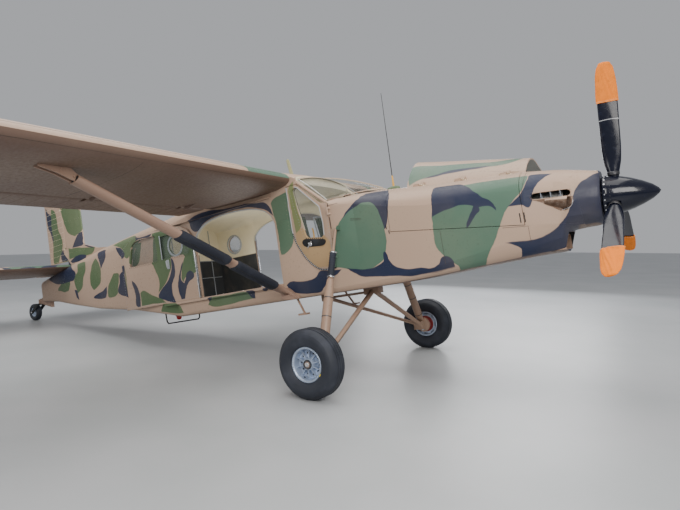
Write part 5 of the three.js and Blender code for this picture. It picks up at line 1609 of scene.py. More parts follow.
piece(
    "spinner_ring",
    lathe([(186, -99), (198.5, -97), (200, -92), (200, -64), (198.5, -60), (186, -58)],
          (0, 0, 0), (1, 0, 0), 96),
    spinner_paint, body="propeller", matrix=THRUST, crease=30,
)
ringed(
    "spinner_bolts", moved(prism(7.5, -2, 6), Matrix.Translation((199.5, 0, 0)) @ TIPPED), 24,
    (-78, 0, 0), (1, 0, 0), bright_steel, body="propeller", matrix=THRUST,
)
ringed(
    "spinner_screws", moved(stud(3.6, 1.6), Matrix.Translation((192, 0, 0)) @ TIPPED), 36,
    (-32, 0, 0), (1, 0, 0), dark_steel, body="propeller", matrix=THRUST, start=5,
)


# Doors, windows and trim. Outlines are drawn in the side view, for the port side.
PILOT_DOOR = [
    (-570, 2372), (-570, 1830), (-545, 1700), (-506, 1610), (-435, 1480), (-346, 1380),
    (-270, 1320), (-180, 1290), (-25, 1290), (-25, 2068), (-125, 2082), (-425, 2372),
]
PILOT_WINDOW = [
    (-490, 2310), (-462, 2130), (-430, 1970), (-385, 1745), (-360, 1705), (-150, 1672),
    (-118, 1700), (-112, 1840), (-130, 2040), (-400, 2325), (-440, 2345),
]
DOORWAY = [
    (-2240, 1214), (-2240, 2000), (-2222, 2070), (-2160, 2135), (-2060, 2195), (-1920, 2240),
    (-1700, 2266), (-1450, 2266), (-1230, 2246), (-1070, 2212), (-950, 2160), (-860, 2080),
    (-820, 1980), (-820, 1214),
]
PORTHOLE = (-2656, 2017)
# How far out the doors' rivets lie
DOOR_FACE, SLIDE_FACE = 630, 666.2
FRONT_PANE = [(-2935, 1850), (-2345, 1850), (-2345, 2120), (-2420, 2190), (-2935, 2190)]
REAR_PANE = [(-3660, 1845), (-3015, 1845), (-3015, 2230), (-3440, 2230), (-3560, 2180)]
POCKET = [
    (-446, 1662), (-430, 1690), (-397, 1699), (-141, 1655), (-112, 1642), (-104, 1620),
    (-126, 1588), (-169, 1578), (-386, 1597), (-428, 1620),
]
flush_rivet = stud(4.0, 1.1)


def on_side(outline, y):
    return [(x, y, z) for x, z in outline]


def side_rivets(shape, turn):
    """A rivet head turned to lie on the port or the starboard side."""
    return moved(shape, out_of_side(0, 0, 0, turn))


for side, turn in SIDES.items():
    door = f"pilot_door_{side}_body"
    window = rounded(PILOT_WINDOW, 26)
    piece(
        f"pilot_window_{side}", sided(plate(grown(window, 1.5), 606, 611), turn), glass, body=door,
    )
    piece(f"window_frame_{side}", sided(rim(grown(window, 18), grown(window, -2), 629, 631.5),
          turn), cabin_paint, body=door, bevel=0.8)
    line = [(x, turn * 632, z) for x, z in grown(PILOT_WINDOW, 1)[10:5:-1]]
    piece(f"window_edge_{side}", tube(line, 5.5, 8, flat=0.6, up=(0, 1, 0)), frame_grey, body=door)
    inner = rim(grown(window, 15), grown(window, -5), 586, 591)
    piece(f"window_lining_{side}", sided(inner, turn), seal_black, body=door)
    repeated(f"window_foot_{side}", [[(-372, turn * 631, 1700), (-146, turn * 631, 1664)]],
             block(-7, 7, -2.5, 2.5, -4, 4), 26, seal_black, body=door, follow=True)
    piece(
        f"door_pocket_{side}", sided(plate(rounded(POCKET, 20), 628, 635), turn), seal_black,
        body=door, bevel=2,
    )
    disc = lathe([(0.5, 0), (26, 0), (26, 3), (22, 6), (0.5, 6)], (0, 0, 0), UP, 32, closed=False)
    piece(
        f"latch_plate_{side}", moved(disc, out_of_side(-331, 635, 1622, turn)), bright_steel,
        body=door,
    )
    lever = [(-302, turn * 646, 1656), (-318, turn * 649, 1636), (-334, turn * 650, 1616),
             (-352, turn * 648, 1598), (-366, turn * 645, 1585)]
    cross = [(-352, turn * 645, 1640), (-331, turn * 649, 1622), (-316, turn * 646, 1610)]
    piece(
        f"latch_{side}",
        joined(tube(smooth_line(lever, 4), 7, 10), tube(cross, 5, 8),
               tube([(-331, turn * 634, 1622), (-331, turn * 650, 1622)], 9, 12)),
        bright_steel, body=door,
    )
    grip = [(-300, turn * 590, 1694), (-300, turn * 574, 1712), (-304, turn * 566, 1740),
            (-306, turn * 566, 1772), (-302, turn * 574, 1796), (-298, turn * 589, 1806)]
    piece(f"door_grip_{side}", tube(smooth_line(grip, 5), 9, 10), flight_yellow, body=door)
    edge = smooth_line([(x, z) for x, z in grown(PILOT_DOOR, -5)[:9]][1:], 5)
    seal = [(p.x, turn * 632, p.y) for p in edge]
    seal = [(-565, turn * 632, 2365)] + seal
    piece(
        f"door_seal_{side}", tube(seal, 5.0, 8, flat=0.8), frame_grey, body=door,
    )
    dash = block(-6, 6, -5.4, 7.4, -7.4, 7.4)
    repeated(
        f"door_seal_ties_{side}", [[p for p in seal if p[2] < 1790]], dash, 24, seal_black,
        body=door, follow=True,
    )
    rows = [on_side(grown(PILOT_WINDOW, 30)[0:6], turn * DOOR_FACE),
            on_side(grown(PILOT_DOOR, -16)[1:10], turn * DOOR_FACE)]
    rows.append([(-360, turn * DOOR_FACE, 1686), (-150, turn * DOOR_FACE, 1654)])
    repeated(
        f"pilot_door_rivets_{side}", rows, side_rivets(flush_rivet, turn), 34, trim_grey, body=door,
    )
    for n, (low, high) in enumerate(((1748, 1888), (2012, 2052), (1500, 1640))):
        piece(f"hinge_slot_{side}_{n}", sided(block(-15, -8, 612, 625.5, low, high), turn),
              seal_black, bevel=1.0)

    # Sliding door
    door = f"sliding_door_{side}_body"
    for label, pane in (("front", FRONT_PANE), ("rear", REAR_PANE)):
        shape = rounded(pane, 60 if label == "rear" else 34)
        piece(
            f"{label}_pane_{side}", sided(plate(grown(shape, 30), 648, 653), turn), glass,
            body=door,
        )
        piece(
            f"{label}_pane_frame_{side}",
            sided(rim(grown(rounded(pane, 34), 16), grown(rounded(pane, 34), -5), 665, 668.5),
                  turn),
            door_paint, body=door, bevel=1,
        )
        repeated(
            f"{label}_pane_rivets_{side}",
            [on_side(grown(pane, 6) + grown(pane, 6)[:1], turn * 668.4)],
            side_rivets(stud(5, 2.4), turn), 48, dark_steel, body=door,
        )
    piece(f"slide_front_strip_{side}", sided(block(-2263, -2249, 637, 669, 1222, 2036), turn),
          bright_steel, body=door, bevel=1.5)
    piece(f"slide_mid_strip_{side}", sided(block(-2926, -2912, 665, 669, 1852, 2206), turn),
          frame_grey, body=door, bevel=1)
    bar = [(-2811, turn * 667, 1822), (-2810, turn * 689, 1812), (-2806, turn * 694, 1768),
           (-2802, turn * 689, 1724), (-2800, turn * 667, 1714)]
    piece(f"slide_handle_{side}", tube(smooth_line(bar, 5), 9, 12), frame_grey, body=door)
    piece(
        f"slide_handle_plate_{side}",
        sided(plate(rounded([(-2834, 1702), (-2780, 1702), (-2780, 1836), (-2834, 1836)], 18),
                    665, 668.5), turn),
        frame_grey, body=door, bevel=1,
    )
    low = [(-3840, 1240), (-2275, 1240)]
    high = [
        (-3836, 1990), (-3812, 2085), (-3732, 2178), (-3596, 2248), (-3418, 2278), (-2642, 2278),
        (-2486, 2250), (-2372, 2192), (-2300, 2118), (-2276, 2042),
    ]
    repeated(
        f"sliding_door_rivets_{side}",
        [on_side(low, turn * SLIDE_FACE), on_side(high, turn * SLIDE_FACE),
         on_side([(-2278, 1240), (-2278, 2030)], turn * SLIDE_FACE),
         on_side([(-3836, 1240), (-3836, 1980)], turn * SLIDE_FACE)],
        side_rivets(flush_rivet, turn), 40, trim_grey, body=door,
    )

    # Doorway trim, sill and porthole
    arch = smooth_line(DOORWAY[1:-1], 4)
    arch = [Vector(DOORWAY[0]), *arch, Vector(DOORWAY[-1])]
    way = grown([(p.x, p.y) for p in arch], -7)
    for label, y, finish, size in (("outer", 622, frame_grey, 7.0),
                                   ("inner", 596, cream_trim, 10.0)):
        piece(
            f"doorway_trim_{label}_{side}",
            tube([(x, turn * y, z) for x, z in way[1:-1]], size, 10, up=(0, 1, 0)), finish,
        )
    piece(f"sill_strip_{side}", sided(block(-2236, -824, 600, 634, 1214.5, 1217.5), turn),
          bright_steel)
    for label, y, out in (("outer", 629, turn), ("inner", 590, -turn)):
        centre = (PORTHOLE[0], turn * y, PORTHOLE[1])
        ring = lathe([(131, -2), (131, 4), (136, 7), (152, 7), (158, 4), (160, -2)],
                     centre, (0, out, 0), 64)
        piece(f"porthole_ring_{label}_{side}", ring, frame_grey, crease=34)
        ringed(f"porthole_screws_{label}_{side}", shifted(stud(4.5, 2.2), x=147, z=7),
               16, centre, (0, out, 0), dark_steel)
    disc = lathe([(0.5, -2), (134, -2), (134, 2), (0.5, 2)], (PORTHOLE[0], turn * 612, PORTHOLE[1]),
                 (0, turn, 0), 64, closed=False)
    piece(f"porthole_glass_{side}", disc, glass)


# Windscreen: the frame round it, a centre post and a white line of sealant at each side
ROOF_FRONT = -419.7


def screen_point(across, height, lift):
    """A place on the windscreen, from -1 to 1 across and from 0 at the base to 1 at the roof."""
    base_x, base_z = 470 - 530 * abs(across) ** 2.2, 2158 - 62 * across ** 2
    top_z = 2512 - 62 * across ** 2
    bulge = 4 * height * (1 - height) * (34 - 24 * across ** 2)
    return Vector((
        base_x + (ROOF_FRONT - base_x) * height + lift * 0.4, 574 * across,
        base_z + (top_z - base_z) * height + bulge + lift,
    ))


def band(line, wide, thick):
    """A flat strip of metal along a line, seen from above."""
    rings = []
    for i, point in enumerate(line):
        along = (line[min(i + 1, len(line) - 1)] - line[max(i - 1, 0)]).normalized()
        out = Vector((0.45, 0, 0.9)).cross(along).normalized()
        up = along.cross(out).normalized()
        rings.append([point + out * wide * a + up * thick * b
                      for a, b in ((-1, -1), (1, -1), (1, 1), (0.9, 1.4), (-0.9, 1.4), (-1, 1))])
    return loft(rings)


base_line = [screen_point(-1 + 2 * i / 40, 0.015, 1.0) for i in range(41)]
piece("screen_base_frame", band(base_line, 17, 2.4), cabin_paint)
top_line = [screen_point(-0.97 + 1.94 * i / 24, 0.985, 1.5) for i in range(25)]
piece("screen_top_frame", band(top_line, 15, 2.0), cabin_paint)
post = [screen_point(0, i / 20, 1.0) for i in range(1, 20)]
swept("screen_post", [post], 9, cabin_paint, sides=10)
for side, turn in SIDES.items():
    edge = [screen_point(0.985 * turn, 0.02 + 0.96 * i / 20, 2.0) for i in range(21)]
    swept(f"screen_sealant_{side}", [edge], 5, white_seal)
rows = [[p + Vector((0, 0, 3.2)) for p in base_line], [p + Vector((0, 0, 2.6)) for p in top_line]]
repeated("screen_rivets", rows, small_rivet, 34, trim_grey)

# Cockpit sides, cowls and nose: panel seams, catches, louvres and rivets
front_skin = skin_of("cockpit_shell", *NOSE_NODES)


def cowl_seam(x):
    return 1592 - 0.14 * (x - 600)


for side, turn in SIDES.items():
    seams = [
        [(-30, 2024), (111, 2029)], [(1874, 1397), (2118, 1370)], [(2118, 1370), (2118, 1210)],
        [(2147, 1930), (2140, 1870), (2089, 1598)], [(1250, 1495), (1250, 1130)],
    ]
    seams = [across_side(front_skin, line, turn) for line in seams]
    swept(f"panel_seams_{side}", seams, 1.8, seam_dark)
    louvres = [
        across_side(front_skin, [(248 - 3 * n, 1818 - 16 * n), (377 - 3 * n, 1796 - 16 * n)],
                    turn, 1)
        for n in range(2)
    ]
    swept(f"side_louvres_{side}", louvres, 1.8, seam_dark)
    rows = [
        [(694, cowl_seam(694) - 22), (2080, cowl_seam(2080) - 22)],
        [(2190, cowl_seam(2190) - 26), (2590, cowl_seam(2590) - 26)],
        [(636, 1240), (636, 2040)], [(20, 1240), (620, 1240)], [(-2, 1300), (-2, 2010)],
        [(2042, 1385), (2113, 1341)], [(300, 1240), (300, 2080)], [(664, 1160), (664, 1560)],
        [(2136, 1925), (2076, 1600)], [(2160, 1925), (2104, 1600)],
        [(2586, 1310), (2586, 1840)], [(2616, 1310), (2616, 1840)], [(2766, 1330), (2766, 1780)],
        [(1240, 1130), (1240, 1485)], [(1260, 1130), (1260, 1485)], [(1700, 1130), (1700, 1425)],
    ]
    rows = [across_side(front_skin, line, turn) for line in rows]
    repeated(f"nose_rivets_{side}", kept(rows), small_rivet, 40, nose_paint)
    catches = []
    for x, low, high in ((2058, 1413, 1512), (2100, 1413, 1512), (661, 1618, 1664),
                         (687, 1560, 1600)):
        y = from_side(front_skin, x, (low + high) / 2, turn, 900).y
        catches.append(block(x - 5, x + 5, y - turn * 6, y + turn * 4, low, high))
    piece(f"cowl_catches_{side}", joined(*catches), seal_black, bevel=2.5)

# Rear fuselage and roof: rows of rivets at the frames and stringers
body_skin = skin_of(
    "rear_fuselage", "cabin_roof", "cabin_side_port", "cabin_side_starboard", "belly_pan",
    "door_post_port", "door_post_starboard",
)
for side, turn in SIDES.items():
    frames = [[(x, 1120), (x, 2620)] for x in range(-3380, -7100, -460)]
    frames += [[(x + 24, 1120), (x + 24, 2620)] for x in (-3010, -4300)]
    stringers = [
        [(-3030, 1620), (-6900, 2010)], [(-3030, 2020), (-6200, 2240)],
        [(-3030, 1330), (-6900, 1800)], [(-2250, 1150), (-800, 1150)],
        [(-2990, 1180), (-2260, 1180)], [(-790, 1225), (-600, 1225)], [(-790, 1240), (-790, 2030)],
        [(-610, 1760), (-610, 2330)], [(-2980, 1240), (-2980, 2250)],
        [(-2280, 1240), (-2280, 1980)],
    ]
    rows = [across_side(body_skin, line, turn, step=46) for line in frames + stringers]
    repeated(f"body_rivets_{side}", kept(rows), small_rivet, 46, tail_paint)
    over = [laid(body_skin, [(x, turn * 30, 2900), (x, turn * 560, 2900)], (0, 0, -1), 0.4, 40)
            for x in (-440, -800, -1250, -1700, -2150, -2600, -2990, -3500, -4000)]
    repeated(f"roof_rivets_{side}", kept(over), small_rivet, 46, tail_paint)

# The port cowl door, which stands open
reskinned("cowl_door_port", open_paint)


# Seats: cushions blown up as cloth over a tube frame

# The blocks' rounding and the size of their skin's squares, in metres, and the cloth's frames
CORNER, SQUARE, CLOTH_FRAMES = 0.024, 0.0075, 20


def soft_block(name, length, width, height):
    """A rounded block on the origin, in metres, with an even skin for the cloth."""
    mesh = bpy.data.meshes.new(name)
    block_mesh = bmesh.new()
    bmesh.ops.create_cube(block_mesh, size=1.0)
    for vertex in block_mesh.verts:
        vertex.co = Vector((vertex.co.x * length, vertex.co.y * width, vertex.co.z * height)) / 1000
    bmesh.ops.bevel(
        block_mesh, geom=block_mesh.edges[:], offset=CORNER, segments=3, affect="EDGES",
        profile=0.5,
    )
    block_mesh.to_mesh(mesh)
    block_mesh.free()
    obj = added(name, mesh)
    even = obj.modifiers.new("even", "REMESH")
    even.mode = "VOXEL"
    even.voxel_size = SQUARE
    return settle(obj)


def blown_up(objects, cap):
    """Blows all the blocks up together as cloth under pressure, and holds how far a point moves."""
    rests = [np.array([v.co for v in obj.data.vertices]) for obj in objects]
    for obj in objects:
        cover = obj.modifiers.new("cloth", "CLOTH")
        cover.settings.quality = 4
        cover.settings.use_pressure = True
        cover.settings.uniform_pressure_force = 4
        cover.settings.effector_weights.gravity = 0
        cover.point_cache.frame_start, cover.point_cache.frame_end = 1, CLOTH_FRAMES
    for step in range(1, CLOTH_FRAMES + 1):
        scene.frame_set(step)
    for obj, rest in zip(objects, rests):
        settle(obj)
        shift = np.array([v.co for v in obj.data.vertices]) - rest
        far = np.linalg.norm(shift, axis=1, keepdims=True)
        shift *= np.minimum(1.0, cap / 1000 / np.maximum(far, 1e-9))
        obj.data.vertices.foreach_set("co", (rest + shift).ravel())
    scene.frame_set(1)


def sewn(obj, length, width, channels):
    """Draws the cushion in along its sewn channels, and between its corners along each side."""
    points = np.array([v.co for v in obj.data.vertices])
    normals = np.array([v.normal for v in obj.data.vertices])
    flat = np.abs(normals[:, 2]) > 0.5
    for line in channels:
        near = np.exp(-((points[:, 0] - line / 1000) / 0.006) ** 2)
        points -= normals * (near * flat * 0.007)[:, None]
    for axis, half, other in ((0, length / 2000, 1), (1, width / 2000, 0)):
        side = np.clip(np.abs(points[:, axis]) / half, 0, 1.2) ** 3
        share = points[:, other] / (width if axis == 0 else length) * 1000
        middle = np.cos(np.clip(share, -0.5, 0.5) * pi)
        points[:, axis] -= np.sign(points[:, axis]) * side * middle * 0.007
    obj.data.vertices.foreach_set("co", points.ravel())
    soft = obj.modifiers.new("soft", "SUBSURF")
    soft.levels = soft.render_levels = 1
    return settle(obj)


SEAT_PAD, BACK_PAD, SEAT_Y = (436, 350, 76), (520, 330, 60), 300
pads = [soft_block("seat_block", *SEAT_PAD), soft_block("back_block", *BACK_PAD)]
blown_up(pads, 16)
sewn(pads[0], SEAT_PAD[0], SEAT_PAD[1], (-110, 0, 110))
sewn(pads[1], BACK_PAD[0], BACK_PAD[1], (-150, 0, 150))
lean = math.atan2(580, -80)
for side, turn in SIDES.items():
    places = (
        Matrix.Translation((-455, turn * SEAT_Y, 1506)),
        Matrix.Translation((-674, turn * SEAT_Y, 1800)) @ Matrix.Rotation(-lean, 4, "Y"),
    )
    for label, pad, place in zip(("cushion", "back"), pads, places):
        obj = added(f"seat_{label}_{side}", pad.data.copy())
        obj.data.name = obj.name
        obj.data.transform(DRAWN @ place @ Matrix.Scale(1000, 4))
        obj.data.materials.clear()
        obj.data.materials.append(seat_canvas)
        obj.data.shade_smooth()
        rides(obj, "airframe", [f"pilot_seat_{side}"] if label == "cushion" else ())
        size = SEAT_PAD if label == "cushion" else BACK_PAD
        far, wide = size[0] / 2 + 2, size[1] / 2 + 2
        loop = rounded([(far, wide), (-far, wide), (-far, -wide), (far, -wide)], 50, 6)
        hull = BVHTree.FromObject(obj, bpy.context.evaluated_depsgraph_get())
        for n, level in enumerate((-1, 1)):
            cord = []
            for x, y in loop + loop[:1]:
                start = DRAWN @ place @ Vector((x * 1.6, y * 1.6, level * size[2] * 0.34))
                aim = DRAWN @ place @ Vector((x * 0.5, y * 0.5, level * size[2] * 0.34))
                hit = hull.ray_cast(start, (aim - start).normalized())[0]
                if hit is not None:
                    cord.append(UNDRAWN @ hit)
            swept(f"seat_piping_{label}_{side}_{n}", [cord], 3.6, piping_black, sides=8)
    # The frame: a pan, four legs, braces, floor rails, and a bent tube round the back
    y0, y1 = turn * SEAT_Y - 165, turn * SEAT_Y + 165
    piece(f"seat_pan_{side}", block(-672, -236, y0, y1, 1446, 1460), dark_steel, bevel=5)
    rails = [[(-600, y, 1224), (-240, y, 1224)] for y in (y0 + 30, y1 - 30)]
    legs = [[(x0, y, 1226), (x1, y, 1448)] for y in (y0 + 30, y1 - 30)
            for x0, x1 in ((-560, -620), (-280, -290))]
    braces = [[(-556, y, 1240), (-292, y, 1440)] for y in (y0 + 30, y1 - 30)]
    hoop = smooth_line([
        (-655, y0 + 4, 1452), (-712, y0 + 4, 1800), (-748, y0 + 10, 2020), (-756, y0 + 60, 2066),
        (-757, y1 - 60, 2066), (-748, y1 - 10, 2020), (-712, y1 - 4, 1800), (-655, y1 - 4, 1452),
    ], 6)
    swept(f"seat_frame_{side}", rails + legs + braces + [hoop], 10, trim_grey, sides=10)
    buckle = block(-470, -420, turn * SEAT_Y - 26, turn * SEAT_Y + 26, 1546, 1562)
    straps = []
    for way in (-1, 1):
        path = [(-640, turn * SEAT_Y + way * 168, 1470), (-600, turn * SEAT_Y + way * 150, 1545),
                (-520, turn * SEAT_Y + way * 90, 1556), (-446, turn * SEAT_Y + way * 20, 1556)]
        straps.append(tube(smooth_line(path, 5), 22, 8, flat=0.09, up=(0, 0, 1)))
    piece(f"seat_belt_{side}", joined(*straps), foam_black, crease=60)
    piece(f"seat_buckle_{side}", buckle, bright_steel, bevel=4)
for pad in pads:
    bpy.data.objects.remove(pad)

# Instrument panel: dials in two rows, a radio stack, levers, sticks and pedals
AFT = (-1, 0, 0)
PANEL_FACE = 90
rings, faces, ticks = [], [], []
for row, z in enumerate((1950, 1852, 1758)):
    for column in range(4 if row < 2 else 3):
        for turn in (-1, 1):
            y = turn * (98 + 96 * column + (20 if row == 2 else 0))
            size = 38 if row < 2 else 32
            rings.append(lathe(
                [(size - 4, -2), (size - 4, 5), (size, 7), (size + 3, 4), (size + 3, -2)],
                (PANEL_FACE, y, z), AFT, 28,
            ))
            faces.append(lathe(
                [(0.4, -1), (size - 3, -1), (size - 3, 1.5), (0.4, 1.5)],
                (PANEL_FACE, y, z), AFT, 28, closed=False,
            ))
            for a in around(12):
                across, up = y + (size - 9) * cos(a), z + (size - 9) * sin(a)
                ticks.append(block(87.2, 88.4, across - 1.2, across + 1.2, up - 1.2, up + 1.2))
            a = 0.9 * column + 1.7 * row + turn
            ticks.append(tube([(86.8, y, z), (86.8, y + (size - 12) * cos(a),
                                             z + (size - 12) * sin(a))], [2, 0.8], 5))
piece("dial_rings", joined(*rings), dark_steel, crease=40)
piece("dial_faces", joined(*faces), dial_black)
piece("dial_marks", joined(*ticks), needle_white)
radios = [block(80, 92, -40, 40, z, z + 40) for z in (1660, 1706)]
knobs = [lathe([(0.4, 0), (8, 0), (7, 12), (0.4, 12)], (81, y, z), AFT, 14, closed=False)
         for z in (1680, 1726) for y in (-28, 28)]
piece("radio_stack", joined(*radios, *knobs), cockpit_black, bevel=2)
LEVERS = ((-45, 60, cockpit_black), (0, 74, flight_yellow), (45, 52, knob_red))
for n, (y, reach, knob) in enumerate(LEVERS):
    rod = [(150, y, 1696), (150 - reach, y, 1752)]
    swept(f"lever_rod_{n}", [rod], 4, bright_steel, sides=8)
    grip = lathe([(0.4, -12), (9, -10), (13, 0), (9, 11), (0.4, 12)], rod[1], (-reach, 0, 56), 18,
                 closed=False)
    piece(f"lever_grip_{n}", grip, knob, crease=50)
for side, turn in SIDES.items():
    y = turn * 270
    stick = smooth_line(
        [(-60, y, 1214), (-70, y, 1330), (-92, y, 1500), (-70, y, 1640), (-76, y, 1690)], 6,
    )
    swept(f"stick_{side}", [stick], 12, dark_steel, sides=12)
    grip = tube(smooth_line([(-70, y, 1640), (-74, y, 1680), (-82, y, 1722), (-80, y, 1752)], 5),
                [15, 16, 17, 18, 19, 19, 19, 18, 18, 18, 19, 20, 21, 20, 18, 14], 14)
    piece(f"stick_grip_{side}", grip, foam_black, crease=50)
    boot = lathe(
        [(14, 60), (22, 44), (40, 22), (62, 4), (62, 0), (0.5, 0)], (-60, y, 1211), (0, 0, 1), 24,
        closed=False,
    )
    piece(f"stick_boot_{side}", boot, foam_black, crease=60)
    pedals = []
    for way in (-1, 1):
        middle = y + way * 90
        pedals.append(tube([(300, middle - 45, 1330), (300, middle + 45, 1330)], 11, 10))
        pedals.append(tube([(300, middle, 1330), (250, middle, 1216)], 9, 8))
    piece(f"pedals_{side}", joined(*pedals), bright_steel)

# Cabin: floor boards with tie-down rings, and the rear bulkhead's ribs
tie_rings = [
    [(x, y, 1216), (x + 14, y, 1226), (x + 28, y, 1216)] for x in range(-2800, -900, 380)
    for y in (-460, -230, 0, 230, 460)
]
swept("tie_down_rings", tie_rings, 3.5, bright_steel, sides=8)
boards = [block(x, x + 360, -566, 566, 1214.4, 1217) for x in range(-2976, -1000, 372)]
piece("floor_boards", joined(*boards), floor_grey, bevel=1)
bulkhead = [[(-2996, y, 1225), (-2996, y, 2300)] for y in (-380, 0, 380)]
bulkhead += [[(-2996, -560, z), (-2996, 560, z)] for z in (1540, 1808)]
swept("bulkhead_ribs", bulkhead, 7, trim_grey, sides=8)

# Engine: flange rings with bolts, pipes, wires, accessory boxes and clips
LONG = (1, 0, 0)
BOLTED = (-1960, -1560, -1180, -800, -470)
flanges = [
    lathe([(236, -7), (254, -7), (254, 7), (236, 7)], (x, 0, 0), LONG, 48) for x in BOLTED
]
flanges += [
    lathe([(236, -16), (244, -14), (244, 14), (236, 16)], (x, 0, 0), LONG, 48)
    for x in (-1880, -1720, -1380)
]
piece("engine_flanges", joined(*flanges), bright_steel, matrix=THRUST, bevel=1.5)
for n, x in enumerate(BOLTED):
    ringed(f"flange_bolts_{n}", shifted(prism(6.5, -13, 13), x=245), 30,
           (x, 0, 0), LONG, dark_steel, matrix=THRUST)


def round_engine(x, radius, degrees):
    angle = radians(degrees)
    return Vector((x, radius * sin(angle), radius * cos(angle)))


pipes = [
    smooth_line([round_engine(x, 262, a) for x, a in points], 6)
    for points in (
        ((-1900, 20), (-1700, 20), (-1600, 34), (-1300, 34), (-1180, 46), (-900, 46)),
        ((-1900, -24), (-1500, -24), (-1400, -36), (-1000, -36), (-900, -20), (-560, -20)),
        ((-1450, 62), (-1450, 30), (-1450, 0), (-1450, -30), (-1450, -62)),
        ((-1010, 70), (-1010, 35), (-1010, 0), (-1010, -35), (-1010, -70)),
    )
]
swept("engine_pipes", pipes, 7, bright_steel, sides=10, matrix=THRUST)
wires = [
    smooth_line([round_engine(x, 260, a) for x, a in points], 6)
    for points in (
        ((-1940, 8), (-1500, 10), (-1240, 16), (-860, 12), (-600, 24)),
        ((-1940, 50), (-1640, 52), (-1240, 60), (-760, 56)),
    )
]
swept("engine_wiring", wires, 6, foam_black, sides=8, matrix=THRUST)
boxes = [block(-2000, -1830, 40, 150, 214, 288), block(-1990, -1860, -150, -30, 214, 280),
         block(-1340, -1220, 60, 130, 222, 268)]
piece("engine_boxes", joined(*boxes), trim_grey, matrix=THRUST, bevel=7)
clips = [
    tube([round_engine(x, 238, a), round_engine(x, 272, a)], 5, 8)
    for x, a in ((-1800, 20), (-1400, 34), (-1000, 46), (-1700, -24), (-1200, -36), (-700, -20))
]
piece("engine_clips", joined(*clips), dark_steel, matrix=THRUST)


# Wing, tailplane, fin and their moving parts: beads, rivets, seams and hinge brackets
WING_LEVEL, SKIN_GAP = 2500, 500


def over_skin(skin, start, end, way, lift, step):
    """A line from one (x, y) to another, laid on a skin from above, or from below for way 1."""
    level = WING_LEVEL - way * SKIN_GAP
    return laid(skin, [(*start, level), (*end, level)], (0, 0, way), lift, step)


def crossing(skin, x0, x1, y, way, lift=0.0, step=40):
    return over_skin(skin, (x0, y), (x1, y), way, lift, step)


def along_span(skin, x, y0, y1, way, lift, step=120):
    return over_skin(skin, (x, y0), (x, y1), way, lift, step)


for side, turn in SIDES.items():
    flap, aileron, wing = (skin_of(f"{node}_{side}") for node in ("flap", "aileron", "wing"))
    for node, skin, stations in (("flap", flap, range(790, 4120, 148)),
                                 ("aileron", aileron, range(4220, 7540, 148))):
        beads = kept(
            crossing(skin, -1900, -2374, turn * y, way, -1.4) for y in stations for way in (1, -1)
        )
        swept(f"{node}_beads_{side}", beads, 4.4, lift_paint, body=f"{node}_{side}_body", sides=8)
    ribs = kept(crossing(wing, -560, -1800, turn * y, way, 0.4, 62) for y in range(900, 7500, 600)
                for way in (1, -1))
    spars = kept(
        along_span(wing, x, turn * 700, turn * 7480, way, 0.4, 62)
        for x in (-620, -980, -1420, -1790) for way in (1, -1)
    )
    repeated(f"wing_rivets_{side}", ribs + spars, small_rivet, 62, lift_paint)
    seams = kept(along_span(wing, -530, turn * 700, turn * 7500, way, 0.0) for way in (1, -1))
    seams += kept(
        crossing(wing, -530, -1800, turn * y, way) for y in (2700, 5100) for way in (1, -1)
    )
    swept(f"wing_seams_{side}", seams, 1.6, seam_dark)
    brackets = []
    for y in (1134, 2434, 3734, 4534, 5834, 7134):
        front, rear = (wing.ray_cast(Vector((x, turn * y, 1500)), UP)[0] for x in (-1560, -1800))
        outline = [(front.x, front.z + 4), (rear.x, rear.z + 6), (rear.x - 4, rear.z - 34),
                   (rear.x + 40, rear.z - 40), (rear.x + 120, rear.z - 22)]
        brackets.append(plate(outline, turn * y - 9, turn * y + 9))
    # The fairings take the underside's brown painted shade
    piece(f"hinge_fairings_{side}", joined(*brackets), underside_shade_paint, bevel=4)
    cap, upright = wing.ray_cast(Vector((-900, turn * 1500, 3500)), Vector((0, 0, -1)))[:2]
    lid = lathe([(0.5, 4), (34, 4), (38, 2), (38, -4), (0.5, -4)], cap, upright, 32, closed=False)
    ring = lathe([(42, -4), (42, 2), (52, 1), (54, -4)], cap, upright, 32)
    piece(f"fuel_cap_{side}", ring, trim_grey, also=((lid, brake_red),))
    tip = wing.ray_cast(Vector((400, turn * 7440, 2585)), Vector((-1, 0, 0)))[0]
    if tip is not None:
        dome = lathe([(0.3, 62), (14, 54), (22, 34), (25, 0), (22, -34), (14, -54), (0.3, -62)],
                     tip + Vector((2, 0, 0)), (0, turn, 0), 24, closed=False)
        piece(f"tip_light_{side}", dome, tip_green if side == "starboard" else tip_red, crease=60)

elevator, tailplane = skin_of("elevator"), skin_of("tailplane")
beads = kept(
    crossing(elevator, -7150, -7690, sign * y, way, -1.4) for y in range(200, 2540, 150)
    for sign in (-1, 1) for way in (1, -1)
)
swept("elevator_beads", beads, 4.2, lift_paint, body="elevator_body", sides=8)
rows = kept(
    crossing(tailplane, -6210, -7080, sign * y, way, 0.4, 62) for y in range(360, 2560, 440)
    for sign in (-1, 1) for way in (1, -1)
)
rows += kept(
    along_span(tailplane, x, sign * 200, sign * 2520, way, 0.4, 62) for x in (-6260, -6640, -7060)
    for sign in (-1, 1) for way in (1, -1)
)
repeated("tailplane_rivets", rows, small_rivet, 62, lift_paint)

